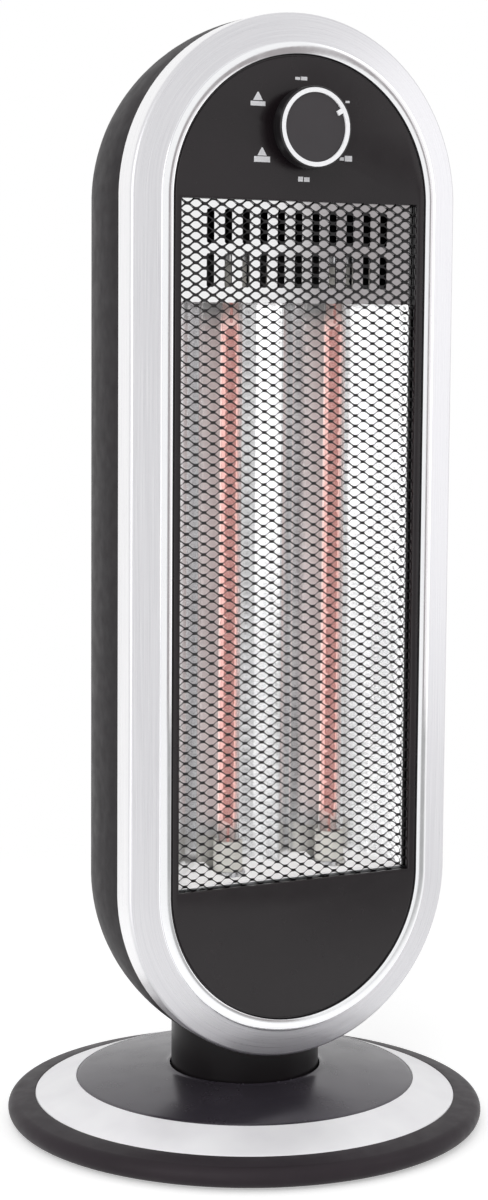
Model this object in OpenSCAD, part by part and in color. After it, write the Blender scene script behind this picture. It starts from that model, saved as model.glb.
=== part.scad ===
// Carbon tower heater: a tall casing with rounded ends on a round base, which swings from side to side.
// Origin: centre of the base on the floor. +Z is up, the front faces -Y, +X is the viewer's right.
// Depth values named *_f are measured forwards from the swing axis, towards the front.

/* [Base] */
// Radius of the base at its widest
base_r = 135; // [132:1:145]
// Radius of the rounding round the base's rim
rim_round = 6; // [5:0.5:7]
// Height of the rubber feet below the base plate
foot_h = 2; // [1:0.5:3]
// Radius of a foot
foot_r = 9; // [6:1:12]
// Number of feet, and of the screws between them
foot_count = 6; // [4:1:8]
// Thickness of the base plate
plate_t = 2.5; // [2:0.5:4]
// Width of the dark rim outside the trim ring
rim_w = 15.5; // [13:0.5:18]
// Height of the trim ring's outer edge
ring_out_z = 15.2; // [14.5:0.1:16.5]
// Width of the trim ring
ring_w = 23.3; // [20:0.1:26]
// Height of the trim ring's inner edge
ring_in_z = 24.3; // [23.5:0.1:26]
// Thickness of the trim ring
ring_t = 1.6; // [1:0.1:2]
// Height of the dome where the neck leaves it
dome_z = 30.5; // [29:0.1:32]

/* [Swivel] */
// Outer radius of the neck
neck_r = 42; // [41:0.5:46]
// Wall of the neck
neck_wall = 3; // [2.5:0.5:4]
// Radius of the hub's upper tube, on which the neck turns
hub_r = 33; // [31:0.5:34]
// Wall of the hub's upper tube
hub_wall = 5; // [4:0.5:6]
// Height of the underside of the neck's lip
lip_z = 31; // [31:0.2:33]
// Thickness of the neck's lip and of the yoke plate
lip_t = 3; // [2.5:0.5:4]
// Swing of the tower to each side, in degrees
swing = 35; // [25:1:36]
// Distance from the swing axis to the motor's shaft
motor_y = 20; // [18:0.5:20]
// Radius of the motor
motor_r = 17.5; // [15:0.5:17.5]
// Height of the motor
motor_h = 14; // [10:1:20]
// Radius of the roller on the crank
roller_r = 3.5; // [3:0.5:4]

/* [Tower casing] */
// Width of the tower
tower_w = 198; // [190:1:210]
// Length of the tower
tower_len = 566.4; // [500:1:620]
// Height of the tower's lower end above the floor
tower_z = 48.6; // [48:0.2:52]
// Wall of the moulded covers
wall = 2.5; // [2:0.1:3]
// Depth of the bezel's polished lip
lip_f = 58.4; // [58:0.1:62]
// Depth of the bezel's outer front edge
edge_f = 53.4; // [53:0.1:54]
// Depth of the joint between bezel and rear shell
split_f = 38; // [30:1:44]
// Depth at which the rear shell's sides start to round in
round_f = 8; // [0:1:20]
// Depth of the flat back, behind the swing axis
back_f = -45; // [-60:1:-44]
// Width of the rounding from the side to the flat back
back_round = 33; // [28:1:40]
// Width of the bezel from the side to the opening
bezel_w = 22; // [20:0.5:24]
// Width of the polished lip round the opening
lip_w = 6.3; // [4:0.1:8]

/* [Front panel] */
// Width of the panel on each side of the heating window
window_edge = 4.7; // [4.7:0.1:10]
// Depth of the panel's face
panel_f = 58; // [57.5:0.1:58.2]
// Thickness of the guard sheet
guard_t = 1.5; // [1:0.1:1.8]
// Width of a strand of the guard
strand = 2.4; // [1.6:0.1:3]
// Number of openings across the guard
guard_cols = 5; // [4:1:6]
// Number of openings down the guard
guard_rows = 26; // [20:1:28]
// Slots in a row of the vent plate
vent_cols = 11; // [7:2:11]
// Width of a vent slot
vent_w = 4.4; // [3:0.1:6]
// Distance from one vent slot to the next
vent_pitch = 10.6; // [9:0.1:11]

/* [Heating] */
// Thickness of the reflector sheet
sheet_t = 0.8; // [0.5:0.1:1]
// Radius of a quartz tube
tube_r = 6; // [5:0.5:7]
// Depth of the tubes
tube_f = 38; // [34:0.5:40]
// Length of the cold end at the foot of a tube, below its glowing part
cold_low = 17; // [11:0.1:35]
// Length of the cold end at the head of a tube
cold_high = 22; // [11:0.1:35]
// Height of the ridge between the two troughs of the reflector
ridge_h = 10; // [8:0.5:12]
// Rise of the reflector's floor towards the back
floor_rise = 7; // [4:0.5:12]

/* [Control] */
// Radius of the knob
knob_r = 21.6; // [18:0.2:24]
// Height of the knob in front of the panel
knob_h = 13.6; // [10:0.2:16]
// Height of the knob's centre above the heating window
knob_rise = 38; // [37:1:44]
// Radius of the switch shaft
shaft_r = 3; // [2.5:0.5:4]
// Stroke of the tip-over plunger
tip_stroke = 6; // [3:0.5:6]

/* [Hidden] */
$fn = 96;

// Clearances: fixed pieces, running fits, moving pieces, and cuts that run past a face
seat = 0.1;
run_gap = 0.1;
gap = 0.3;
past = 1;

// Screws: shank, head and the hole round the shank
screw_r = 1.5;
screw_head_r = 2.8;
screw_head_h = 1.6;
screw_hole_r = screw_r + seat;
boss_r = 4.5;

// Bush for the mains lead in the back of the rim
cord_bush_r = 3.4;
cord_bush_len = 7.8;
cord_z = foot_h + 5;

// Base, from the rim inwards and from the floor upwards
ring_out_r = base_r - rim_w;
ring_in_r = ring_out_r - ring_w;
plate_z = foot_h + plate_t;
ring_slope = (ring_in_z - ring_out_z) / (ring_out_r - ring_in_r);
rim_post_r = ring_out_r - 11.5;
dome_lip_r = ring_in_r - seat;
ledge_in_r = dome_lip_r - 10;
dome_seat_z = ring_in_z - 2.8;
dome_hole_r = neck_r + 0.8;
dome_rise = ring_in_z - 0.2;
dome_ball_r = (pow(dome_lip_r, 2) - pow(dome_hole_r, 2)) / (2 * (dome_z - dome_rise));
dome_ball_z = dome_z + pow(dome_hole_r, 2) / (2 * dome_ball_r) - dome_ball_r;

// Swivel heights, stacked upwards from the hub's shoulder
neck_in_r = neck_r - neck_wall;
washer_t = 1.5;
shoulder_z = lip_z - washer_t;
hub_top_z = lip_z + lip_t + 0.4;
yoke_t = lip_t;
yoke_top_z = hub_top_z + yoke_t;
neck_low_z = dome_z - 3.2;
crank_z = yoke_top_z + screw_head_h + 1;
crank_t = 3;
floor_z = crank_z + crank_t + 1;
floor_t = 3;
motor_z = floor_z + floor_t;
crank_r = motor_y * sin(swing);
slot_half = roller_r + 2.5;
slot_near_y = 4;
yoke_r = neck_in_r - 1.5;
slot_far_y = yoke_r - 2;
pin_r = 1.5;

// Tower outline: a straight length between two half rounds
tower_r = tower_w / 2;
opening_r = tower_r - bezel_w;
back_r = tower_r - back_round;
low_z = tower_z + tower_r;
high_z = tower_z + tower_len - tower_r;
top_z = tower_z + tower_len;

// Stack of the front: panel face, guard behind it, vent plate, reflector flange
panel_back_f = panel_f - wall;
guard_back_f = panel_back_f - guard_t;
vent_t = 1.1;
vent_f = guard_back_f - 0.3 - vent_t;
flange_back_f = 48;
flange_f = flange_back_f + wall;
panel_r = opening_r - gap;
window_r = panel_r - window_edge;
panel_wall_r = panel_r - wall;
panel_flange_r = tower_r - wall - 1;
window_low_z = low_z;
window_high_z = high_z;
guard_edge = 4.5;
// Vent plate: its lap over the window's top edge, its height, and each row of slots as [start, length]
vent_lap = 4;
vent_h = 58;
vent_rows = [[8, 17.6], [31, 17.8]];

// Inner sheet-metal frame
metal_t = 1.5;
chassis_back_f = 5.5;
chassis_r = window_r + 6;
chassis_low_z = window_low_z - 8;
chassis_high_z = window_high_z - 22;
chassis_flange = 4.5;
bracket_low_z = window_low_z - 0.6;
reflector_low_z = bracket_low_z + metal_t;
reflector_high_z = window_high_z - 50;
bracket_high_z = window_high_z - 27.5;
sheet_flange_r = window_r + 1.8;
floor_notch_r = tube_r + 3.5;

// Reflector: outer edge of a trough from the middle, width of each of its two outer walls, slope of the
// ridge's sides and of the first outer wall, distance from that wall's foot to the tube
trough_edge_x = window_r - 2;
fold_w = 12;
ridge_angle = 40;
fold_angle = 38;
tube_off = 14;

// Tubes, their caps and clips
tube_x = trough_edge_x - 2 * fold_w - tube_off;
tube_wall = 1.2;
tube_low_z = reflector_low_z + 11.7;
tube_high_z = bracket_high_z - 12.2;
cap_r = tube_r + 2;
cap_len = 21.5;
cap_grip = 10;
glow_z = tube_low_z + cold_low;
glow_len = tube_high_z - cold_high - glow_z;
ribbon_w = 5;
ribbon_t = 0.8;
lead_r = 0.8;

// Folds of the reflector as [distance from the middle, depth], from the ridge to the outer edge of a trough
trough_f = tube_f - cap_r - 2;
folds = [[0, trough_f + ridge_h], [ridge_h / tan(ridge_angle), trough_f],
  [trough_edge_x - 2 * fold_w, trough_f], [trough_edge_x - fold_w, trough_f + fold_w * tan(fold_angle)],
  [trough_edge_x, vent_f]];

// Casing screws sit on posts round both ends: [x, z]
post_off = tower_r - 15;
posts = concat(
  [for (a = [12, 65, 115, 168]) [post_off * cos(a), high_z + post_off * sin(a)]],
  [for (a = [192, 235, 305, 348]) [post_off * cos(a), low_z + post_off * sin(a)]]);
screw_seat_f = -2;
well_r = screw_head_r + 1;

// Grip let into the back, above the louvres: half width, radius of its ends, depth, height above the window
grip_half = 30;
grip_r = 13;
grip_depth = 18;
grip_rise = 37;

// Control
knob_z = window_high_z + knob_rise;
knob_back_f = panel_f + 0.5;
knob_face_f = knob_back_f + knob_h - 0.5;
knob_ring_r = knob_r - 1;
knob_ring_w = 2.4;
knob_ring_t = 1.2;
knob_foot_r = knob_r - 3.5;
knob_foot_h = 5;
off_angle = 30;
switch_half = 17;
switch_back_f = 30;
bush_r = 5;

// Tip-over switch in the base
tip_y = ledge_in_r - 8.1;
tip_r = 5;
tip_stem_r = 2.5;
tip_collar_r = 7.5;
tip_collar_z = plate_z + tip_stroke + 0.5;
tip_collar_t = 2;
tip_bridge_z = tip_collar_z + tip_collar_t + 3.5;
tip_bridge_t = 2;
tip_stem_len = tip_bridge_z - tip_collar_z - tip_collar_t + tip_stroke + 0.5;

// Terminal block, and the wires that rise from it behind the reflector
block_z = low_z + 16;
block_h = 16;
loom_y = 4;

// Points on an arc about c, from angle a0 to a1
function arc(c, r, a0, a1, n) = [for (i = [0 : n]) let (a = a0 + (a1 - a0) * i / n)
  [c[0] + r * cos(a), c[1] + r * sin(a)]];
// Height of the trim ring's face at radius r
function ring_z(r) = ring_out_z + (ring_out_r - r) * ring_slope;
// Height of the dome's face at radius r
function dome_top(r) = dome_ball_z + sqrt(pow(dome_ball_r, 2) - r * r);
// Outline of the rear shell, from the side to the flat back, moved inwards by t
function back_curve(t, n = 10) = [for (i = [0 : n]) let (a = 90 * i / n)
  [back_r + (tower_r - back_r - t) * cos(a), round_f - (round_f - back_f - t) * sin(a)]];

// Direction square to the line from a to b, on its right
function square_to(a, b) = let (d = (b - a) / norm(b - a)) [d[1], -d[0]];
// Fold i of the reflector, moved back by t from both of its faces
function moved_fold(i, t) = let (
    line = concat([[-folds[1][0], folds[1][1]]], folds, [folds[len(folds) - 1] + [1, 0]]),
    m = square_to(line[i], line[i + 1]),
    n = square_to(line[i + 1], line[i + 2]))
  folds[i] + t * (m + n) / (1 + m * n);
// The reflector's line from the left flange to the right one, moved back by t
function reflector_line(t) = let (
    half = concat([for (i = [0 : len(folds) - 1]) moved_fold(i, t)], [[sheet_flange_r, vent_f - t]]))
  concat([for (i = [len(half) - 1 : -1 : 1]) [-half[i][0], half[i][1]]], half);

// Raise a drawing of the X-Z plane forwards from depth f
module facing(f) translate([0, -f, 0]) rotate([90, 0, 0]) children();
// Raise a drawing of width and depth upwards from height z
module upright(z, h) translate([0, 0, z]) linear_extrude(h) mirror([0, 1]) children();
// The tower's outline with half width r
module stadium(r) {
  translate([-r, low_z]) square([2 * r, high_z - low_z]);
  for (z = [low_z, high_z]) translate([0, z]) circle(r);
}
// A band of the tower's outline
module stadium_band(r_out, r_in) {
  difference() {
    stadium(r_out);
    stadium(r_in);
  }
}
// Run a profile of [distance from the middle line, depth] round the tower
module run_round() {
  translate([0, 0, high_z]) rotate([90, 0, 0]) rotate_extrude(angle = 180) children();
  translate([0, 0, low_z]) rotate([90, 180, 0]) rotate_extrude(angle = 180) children();
  for (side = [0, 1]) mirror([side, 0, 0]) upright(low_z, high_z - low_z) children();
}
module ring(r_out, r_in, z, h) {
  translate([0, 0, z]) difference() {
    cylinder(r = r_out, h = h);
    translate([0, 0, -past]) cylinder(r = r_in, h = h + 2 * past);
  }
}
// Copies round the base's axis
module spaced(count, r, turn = 0) {
  for (i = [0 : count - 1]) rotate([0, 0, turn + 360 * i / count]) translate([r, 0, 0]) children();
}

module base_plate() color("#26252a") {
  difference() {
    translate([0, 0, foot_h]) cylinder(r = base_r - rim_round - 3, h = plate_t);
    spaced(foot_count, rim_post_r - 6) translate([0, 0, -past]) cylinder(r = foot_r + seat, h = foot_h + 1 + past);
    spaced(foot_count, rim_post_r, 180 / foot_count) cylinder(r = screw_hole_r, h = plate_z + past);
    translate([0, tip_y, 0]) cylinder(r = tip_r + gap, h = plate_z + past);
    spaced(4, hub_r + 9, 45) cylinder(r = screw_hole_r, h = plate_z + past);
  }
}

module base_rim() color("#3b373b") {
  top_r = ring_out_r + 0.2;
  ledge_z = dome_seat_z - wall;
  difference() {
    union() {
      rotate_extrude() polygon(concat(
        arc([base_r - rim_round, foot_h + rim_round - 0.5], rim_round, -65, 78, 11),
        [[top_r, ring_out_z], [top_r, ring_z(top_r) - ring_t - seat],
         [ring_in_r + 1.5, ring_z(ring_in_r + 1.5) - ring_t - seat], [ring_in_r + 1.5, dome_seat_z],
         [ledge_in_r, dome_seat_z], [ledge_in_r, ledge_z], [ring_in_r + 3, ledge_z],
         [ring_out_r - 3, ring_out_z - ring_t - wall],
         [base_r - rim_round - 1, foot_h + rim_round + 2.6], [base_r - rim_round + wall, foot_h + rim_round - 1],
         [base_r - rim_round - 2.8, foot_h]]));
      spaced(foot_count, rim_post_r, 180 / foot_count) translate([0, 0, plate_z])
        cylinder(r = boss_r, h = ring_z(rim_post_r + boss_r) - ring_t - plate_z - 1);
    }
    spaced(foot_count, rim_post_r, 180 / foot_count) cylinder(r = screw_hole_r, h = plate_z + 8);
    translate([0, base_r, cord_z]) rotate([90, 0, 0]) cylinder(r = cord_bush_r + seat, h = 12);
  }
}

module base_trim_ring() color("#ededf0") {
  rotate_extrude() polygon([
    [ring_out_r, ring_out_z - ring_t], [ring_out_r, ring_out_z - 0.4], [ring_out_r - 0.5, ring_z(ring_out_r - 0.5)],
    [ring_in_r + 0.5, ring_z(ring_in_r + 0.5)], [ring_in_r, ring_in_z - 0.4], [ring_in_r, ring_in_z - ring_t]]);
}

module base_dome() color("#2c2a2e") {
  steps = 12;
  rotate_extrude() polygon(concat(
    [for (i = [0 : steps]) let (r = dome_lip_r + (dome_hole_r + 2 - dome_lip_r) * i / steps) [r, dome_top(r)]],
    [[dome_hole_r + 0.8, dome_z + 0.5], [dome_hole_r, dome_z + 0.7], [dome_hole_r, dome_z - wall]],
    [for (i = [steps - 1 : -1 : 1]) let (r = dome_lip_r + (dome_hole_r - dome_lip_r) * i / steps)
      [r, dome_top(r) - wall]],
    [[dome_lip_r - wall, dome_seat_z], [dome_lip_r, dome_seat_z]]));
}

module base_feet() color("#1b1b1d") {
  spaced(foot_count, rim_post_r - 6) cylinder(r = foot_r, h = foot_h + 1);
}

module screw(len) {
  translate([0, 0, -screw_head_h]) cylinder(r = screw_head_r, h = screw_head_h);
  translate([0, 0, -0.2]) cylinder(r = screw_r, h = len + 0.2);
}

module base_screws() color("#8c8c90") {
  spaced(foot_count, rim_post_r, 180 / foot_count) translate([0, 0, foot_h]) screw(plate_t + 6);
}

module swivel_hub() color("#d8d5cc") {
  flange_r = hub_r + 14;
  difference() {
    union() {
      translate([0, 0, plate_z]) cylinder(r = flange_r, h = 3);
      translate([0, 0, plate_z]) cylinder(r = neck_in_r - 0.6, h = shoulder_z - plate_z);
      translate([0, 0, plate_z]) cylinder(r = hub_r, h = hub_top_z - plate_z);
    }
    translate([0, 0, plate_z - past]) cylinder(r = hub_r - hub_wall, h = hub_top_z);
    spaced(4, hub_r + 9, 45) cylinder(r = screw_hole_r, h = plate_z + 12);
    spaced(3, hub_r - hub_wall / 2, -90) translate([0, 0, hub_top_z - 8]) cylinder(r = screw_hole_r, h = 8 + past);
  }
}

module thrust_washer() color("#f2f0e8") ring(neck_in_r - 0.6, hub_r + seat, shoulder_z, washer_t - 0.1);

module swing_yoke() color("#c8c8cc") {
  difference() {
    translate([0, 0, hub_top_z]) cylinder(r = yoke_r, h = yoke_t);
    translate([-slot_half, slot_near_y, 0]) cube([2 * slot_half, slot_far_y - slot_near_y, yoke_top_z + past]);
    translate([0, -14, 0]) cylinder(r = 9, h = yoke_top_z + past);
    spaced(3, hub_r - hub_wall / 2, -90) cylinder(r = screw_hole_r, h = yoke_top_z + past);
  }
}

module hub_screws() color("#8c8c90") {
  spaced(3, hub_r - hub_wall / 2, -90) translate([0, 0, yoke_top_z]) rotate([180, 0, 0]) screw(yoke_t + 6);
  spaced(4, hub_r + 9, 45) translate([0, 0, foot_h]) screw(plate_t + 9);
}

module cord_bush() color("#1b1b1d") {
  translate([0, base_r - 0.3, cord_z]) rotate([90, 0, 0]) difference() {
    cylinder(r = cord_bush_r, h = cord_bush_len);
    translate([0, 0, -past]) cylinder(r = cord_bush_r - 0.8, h = cord_bush_len + 2 * past);
  }
}

module tip_switch() color("#e9e6dc") {
  half = tip_collar_r + 2;
  translate([0, tip_y, 0]) difference() {
    union() {
      for (side = [-1, 1]) translate([side * half - 1.5, -6, plate_z]) cube([3, 12, tip_bridge_z - plate_z]);
      translate([-half - 1.5, -6, tip_bridge_z]) cube([2 * half + 3, 12, tip_bridge_t]);
      translate([-half - 1.5, -6, tip_bridge_z]) cube([half - 1.5, 10, tip_bridge_t + 4]);
    }
    translate([0, 0, tip_bridge_z - past]) cylinder(r = tip_stem_r + run_gap, h = tip_bridge_t + 2 * past);
  }
}

module plunger_spring() color("#b9b9bd") {
  translate([0, tip_y, 0]) ring(tip_r + 0.6, tip_r - 0.6, tip_collar_z + tip_collar_t + 0.1,
    tip_bridge_z - tip_collar_z - tip_collar_t - 0.2);
}

module tip_plunger() color("#d23b2f") {
  translate([0, tip_y, 0]) {
    cylinder(r = tip_r, h = tip_collar_z);
    translate([0, 0, tip_collar_z]) cylinder(r = tip_collar_r, h = tip_collar_t);
    translate([0, 0, tip_collar_z + tip_collar_t]) cylinder(r = tip_stem_r, h = tip_stem_len);
  }
}

// The casing's outer form, enlarged by t
module casing(t) {
  run_round() polygon(concat(
    [[0, edge_f], [tower_r + t, edge_f]],
    [for (p = back_curve(-t)) p],
    [[0, back_f - t]]));
}

module neck() color("#1b1a1d") {
  difference() {
    union() {
      ring(neck_r, neck_in_r, neck_low_z, low_z - neck_low_z - 30);
      ring(neck_in_r + 0.5, hub_r + gap, lip_z, lip_t);
      translate([0, 0, floor_z]) cylinder(r = neck_in_r + 0.5, h = floor_t);
    }
    casing(seat);
    translate([0, motor_y, floor_z - past]) cylinder(r = 5, h = floor_t + 2 * past);
    translate([0, -18, floor_z - past]) cylinder(r = 8, h = floor_t + 2 * past);
    for (side = [-1, 1]) translate([side * (motor_r + 4), motor_y, floor_z - past])
      cylinder(r = screw_hole_r, h = floor_t + 2 * past);
  }
}

// The space of the grip, enlarged by t and h deep
module grip(t, h) linear_extrude(h) hull()
  for (side = [-1, 1]) translate([side * grip_half, window_high_z + grip_rise]) circle(grip_r + t);

module rear_shell() color("#3e383c") {
  slot_w = 46;
  slot_h = 3.2;
  slot_pitch = 9;
  slot_rows = 9;
  slot_edge = 8;
  slot_rib = 3;
  neck_open_h = back_round + wall + 5;
  difference() {
    union() {
      run_round() polygon(concat(
        [[tower_r, split_f]], back_curve(0), [[0, back_f], [0, back_f + wall]],
        [for (i = [len(back_curve(wall)) - 1 : -1 : 0]) back_curve(wall)[i]], [[tower_r - wall, split_f]]));
      intersection() {
        casing(-wall / 2);
        for (p = posts) facing(back_f) translate(p) cylinder(r = boss_r + 0.5, h = flange_back_f - back_f);
      }
      facing(back_f + wall / 2) grip(wall, grip_depth + wall / 2);
    }
    for (p = posts) facing(back_f - past) translate(p) {
      cylinder(r = screw_hole_r, h = flange_back_f - back_f + 2 * past);
      cylinder(r = well_r, h = screw_seat_f - back_f + past);
    }
    for (end = [low_z + slot_edge, high_z - slot_edge - slot_pitch * (slot_rows - 1)],
         row = [0 : slot_rows - 1], side = [-1, 1])
      translate([side * (slot_w / 2 + slot_rib) - slot_w / 2, -back_f - wall - past, end + slot_pitch * row])
        cube([slot_w, wall + 2 * past, slot_h]);
    facing(back_f - past) grip(0, grip_depth + past);
    translate([0, 0, tower_z - past]) cylinder(r = neck_in_r - 0.5, h = neck_open_h);
  }
}

module front_bezel() color("#dddddf") {
  edge_round = 2.2;
  lip_out_r = opening_r + lip_w;
  lip_drop = 1;
  lip_round = 0.5;
  stub_h = 3.5;
  band_slope = atan((lip_f - lip_drop - edge_f) / (tower_r - lip_out_r - 1));
  difference() {
    union() {
      run_round() polygon(concat(
        [[tower_r, split_f]],
        arc([tower_r - edge_round, edge_f - edge_round], edge_round, 0, 90 - band_slope, 5),
        [[lip_out_r, lip_f - lip_drop], [lip_out_r, lip_f - lip_round], [lip_out_r - lip_round, lip_f],
         [opening_r + lip_round, lip_f], [opening_r, lip_f - lip_round], [opening_r, flange_f],
         [opening_r + wall, flange_f], [opening_r + wall, lip_f - lip_drop - wall],
         [lip_out_r, lip_f - lip_drop - wall], [tower_r - wall, edge_f - wall], [tower_r - wall, split_f]]));
      for (p = posts) facing(flange_f) translate(p) cylinder(r = boss_r - 1, h = stub_h);
    }
    for (p = posts) facing(flange_f - past) translate(p) cylinder(r = screw_hole_r, h = past + 3);
  }
}

module front_panel() color("#37333a") {
  // The face steps back along its edge, so that a dark line shows between panel and lip
  step = 1;
  difference() {
    union() {
      facing(flange_back_f) linear_extrude(wall) stadium_band(panel_flange_r, panel_wall_r);
      facing(flange_f) linear_extrude(panel_back_f - flange_f) stadium_band(panel_r, panel_wall_r);
      facing(panel_back_f) linear_extrude(wall - step) stadium(panel_r);
      facing(panel_f - step) linear_extrude(step) stadium(panel_r - step);
    }
    facing(panel_back_f - past) translate([-window_r, window_low_z])
      linear_extrude(wall + 2 * past) square([2 * window_r, window_high_z - window_low_z]);
    facing(panel_back_f - past) translate([0, knob_z]) cylinder(r = bush_r + seat, h = wall + 2 * past);
    for (p = posts) facing(flange_back_f - past) translate(p) cylinder(r = screw_hole_r, h = wall + 2 * past);
  }
}

module mesh_guard() color("#8b8b8e") {
  cell_w = 2 * window_r / guard_cols;
  cell_h = (window_high_z - window_low_z) / guard_rows;
  // Half diagonals of an opening, drawn in by a strand's width
  slant = sqrt(pow(cell_w, 2) + pow(cell_h, 2));
  open_x = cell_w / 2 - strand * slant / (2 * cell_h);
  open_z = cell_h / 2 - strand * slant / (2 * cell_w);
  facing(guard_back_f) linear_extrude(guard_t) difference() {
    translate([-window_r - 1.8, window_low_z - guard_edge])
      square([2 * (window_r + 1.8), window_high_z - window_low_z + 2 * guard_edge]);
    intersection() {
      translate([-window_r, window_low_z]) square([2 * window_r, window_high_z - window_low_z]);
      for (row = [0 : 2 * guard_rows], col = [0 : guard_cols])
        translate([(col + (row % 2) / 2) * cell_w - window_r, window_low_z + row * cell_h / 2])
          polygon([[open_x, 0], [0, open_z], [-open_x, 0], [0, -open_z]]);
    }
  }
}

module vent_plate() color("#d9d9dc") {
  plate_low_z = window_high_z + vent_lap - vent_h;
  facing(vent_f) linear_extrude(vent_t) difference() {
    translate([-sheet_flange_r, plate_low_z]) square([2 * sheet_flange_r, vent_h]);
    for (col = [0 : vent_cols - 1], slot = vent_rows)
      translate([(col - (vent_cols - 1) / 2) * vent_pitch - vent_w / 2, plate_low_z + slot[0]])
        square([vent_w, slot[1]]);
  }
}

module reflector() color("#e4e4e6") {
  back = reflector_line(sheet_t);
  upright(reflector_low_z, reflector_high_z - reflector_low_z)
    polygon(concat(reflector_line(0), [for (i = [len(back) - 1 : -1 : 0]) back[i]]));
}

module reflector_floor() color("#e4e4e6") {
  front_f = vent_f - sheet_t;
  difference() {
    intersection() {
      upright(reflector_low_z, floor_rise + 10)
        polygon(concat(reflector_line(-seat), [[sheet_flange_r, panel_f], [-sheet_flange_r, panel_f]]));
      translate([-window_r, 0, reflector_low_z]) rotate([90, 0, 90]) linear_extrude(2 * window_r)
        polygon([[-front_f, 0], [-front_f, 1], [-trough_f, floor_rise + 1], [-trough_f, floor_rise]]);
    }
    for (side = [-1, 1]) translate([side * tube_x, -tube_f, reflector_low_z - past]) {
      cylinder(r = floor_notch_r, h = floor_rise + 10);
      translate([-floor_notch_r, 0, 0]) cube([2 * floor_notch_r, tube_f, floor_rise + 10]);
    }
  }
}

module inner_chassis() color("#b4b6b8") {
  upright(chassis_low_z, chassis_high_z - chassis_low_z) {
    translate([-chassis_r, chassis_back_f]) square([2 * chassis_r, metal_t]);
    for (side = [0, 1]) mirror([side, 0]) {
      translate([chassis_r - metal_t, chassis_back_f]) square([metal_t, flange_back_f - chassis_back_f]);
      translate([chassis_r - metal_t, flange_back_f - metal_t]) square([chassis_flange + metal_t, metal_t]);
    }
  }
}

module bracket(z) {
  half = chassis_r - metal_t;
  difference() {
    union() {
      upright(z, metal_t) translate([-panel_wall_r + 0.4, chassis_back_f + metal_t])
        square([2 * panel_wall_r - 0.8, vent_f - chassis_back_f - metal_t]);
      upright(z, metal_t) translate([-half, chassis_back_f + metal_t]) square([2 * half, flange_back_f - chassis_back_f - 3 * metal_t]);
    }
    for (side = [-1, 1]) translate([side * tube_x, -tube_f, z - past]) cylinder(r = 3 + seat, h = metal_t + 2 * past);
  }
}
module upper_bracket() color("#b4b6b8") bracket(bracket_high_z);
module lower_bracket() color("#b4b6b8") bracket(bracket_low_z);

module quartz_tubes() color("#c98f86") {
  for (side = [-1, 1]) translate([side * tube_x, -tube_f, 0])
    ring(tube_r, tube_r - tube_wall, tube_low_z, tube_high_z - tube_low_z);
}

module carbon_filaments() color("#d0483a") {
  for (side = [-1, 1]) translate([side * tube_x, -tube_f, 0]) {
    translate([-ribbon_w / 2, -ribbon_t / 2, glow_z]) cube([ribbon_w, ribbon_t, glow_len]);
    translate([0, 0, tube_low_z]) cylinder(r = lead_r, h = glow_z - tube_low_z);
    translate([0, 0, glow_z + glow_len]) cylinder(r = lead_r, h = tube_high_z - glow_z - glow_len);
  }
}

// A ceramic cap on the end of a tube, with a stud through its bracket
module cap() {
  difference() {
    union() {
      cylinder(r = cap_r, h = cap_len);
      translate([0, 0, -metal_t - 2]) cylinder(r = 3, h = metal_t + 2 + past);
    }
    translate([0, 0, cap_len - cap_grip]) cylinder(r = tube_r + seat, h = cap_grip + past);
  }
}
module tube_caps() color("#f2f0ea") {
  for (side = [-1, 1]) translate([side * tube_x, -tube_f, 0]) {
    translate([0, 0, reflector_low_z]) cap();
    translate([0, 0, bracket_high_z]) rotate([180, 0, 0]) cap();
  }
}

module tube_clips() color("#c9c9cc") {
  clip_h = 5;
  for (side = [-1, 1]) translate([side * tube_x, -tube_f, 0]) {
    ring(cap_r + seat + 1, cap_r + seat, reflector_low_z, clip_h);
    ring(cap_r + seat + 1, cap_r + seat, bracket_high_z - clip_h, clip_h);
  }
}

module rotary_switch() color("#dfe3e6") {
  difference() {
    union() {
      facing(switch_back_f) translate([-switch_half, knob_z - switch_half])
        linear_extrude(panel_back_f - metal_t - switch_back_f) square(2 * switch_half);
      facing(panel_back_f - metal_t) translate([-switch_half - 4, knob_z - 12]) linear_extrude(metal_t)
        square([2 * switch_half + 8, 24]);
      facing(panel_back_f - metal_t) translate([0, knob_z]) cylinder(r = bush_r, h = metal_t + wall);
    }
    facing(switch_back_f + 6) translate([0, knob_z]) cylinder(r = shaft_r + run_gap, h = 40);
  }
}

module thermal_cutout() color("#c9b98a") {
  cutout_h = 7;
  cutout_drop = 86;
  facing(chassis_back_f - cutout_h) translate([30, high_z - cutout_drop]) cylinder(r = 8, h = cutout_h);
}

module terminal_block() color("#efeee6") {
  translate([-20, -chassis_back_f, block_z]) cube([40, 14, block_h]);
}

module wiring_loom() color("#2a2a2c") {
  loom_r = 2.5;
  bend = 8;
  translate([0, loom_y, block_z + block_h]) cylinder(r = loom_r, h = knob_z - bend - block_z - block_h);
  translate([0, loom_y - bend, knob_z - bend]) rotate([90, 0, 90]) rotate_extrude(angle = 90)
    translate([bend, 0]) circle(loom_r);
  facing(bend - loom_y) translate([0, knob_z]) cylinder(r = loom_r, h = switch_back_f - bend + loom_y);
  translate([0, loom_y, motor_z + motor_h]) cylinder(r = 2, h = block_z - motor_z - motor_h);
}

module oscillation_motor() color("#cfcfd2") {
  difference() {
    union() {
      translate([0, motor_y, motor_z]) cylinder(r = motor_r, h = motor_h);
      for (side = [-1, 1]) translate([side * (motor_r + 1) - 8, motor_y - 4, motor_z]) cube([16, 8, 1]);
      translate([0, motor_y, floor_z - 0.5]) cylinder(r = 4.5, h = motor_z - floor_z + 1);
    }
    for (side = [-1, 1]) translate([side * (motor_r + 4), motor_y, motor_z - past])
      cylinder(r = screw_hole_r, h = 3);
    translate([0, motor_y, floor_z - past]) cylinder(r = 2 + run_gap, h = 8);
  }
}

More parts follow.
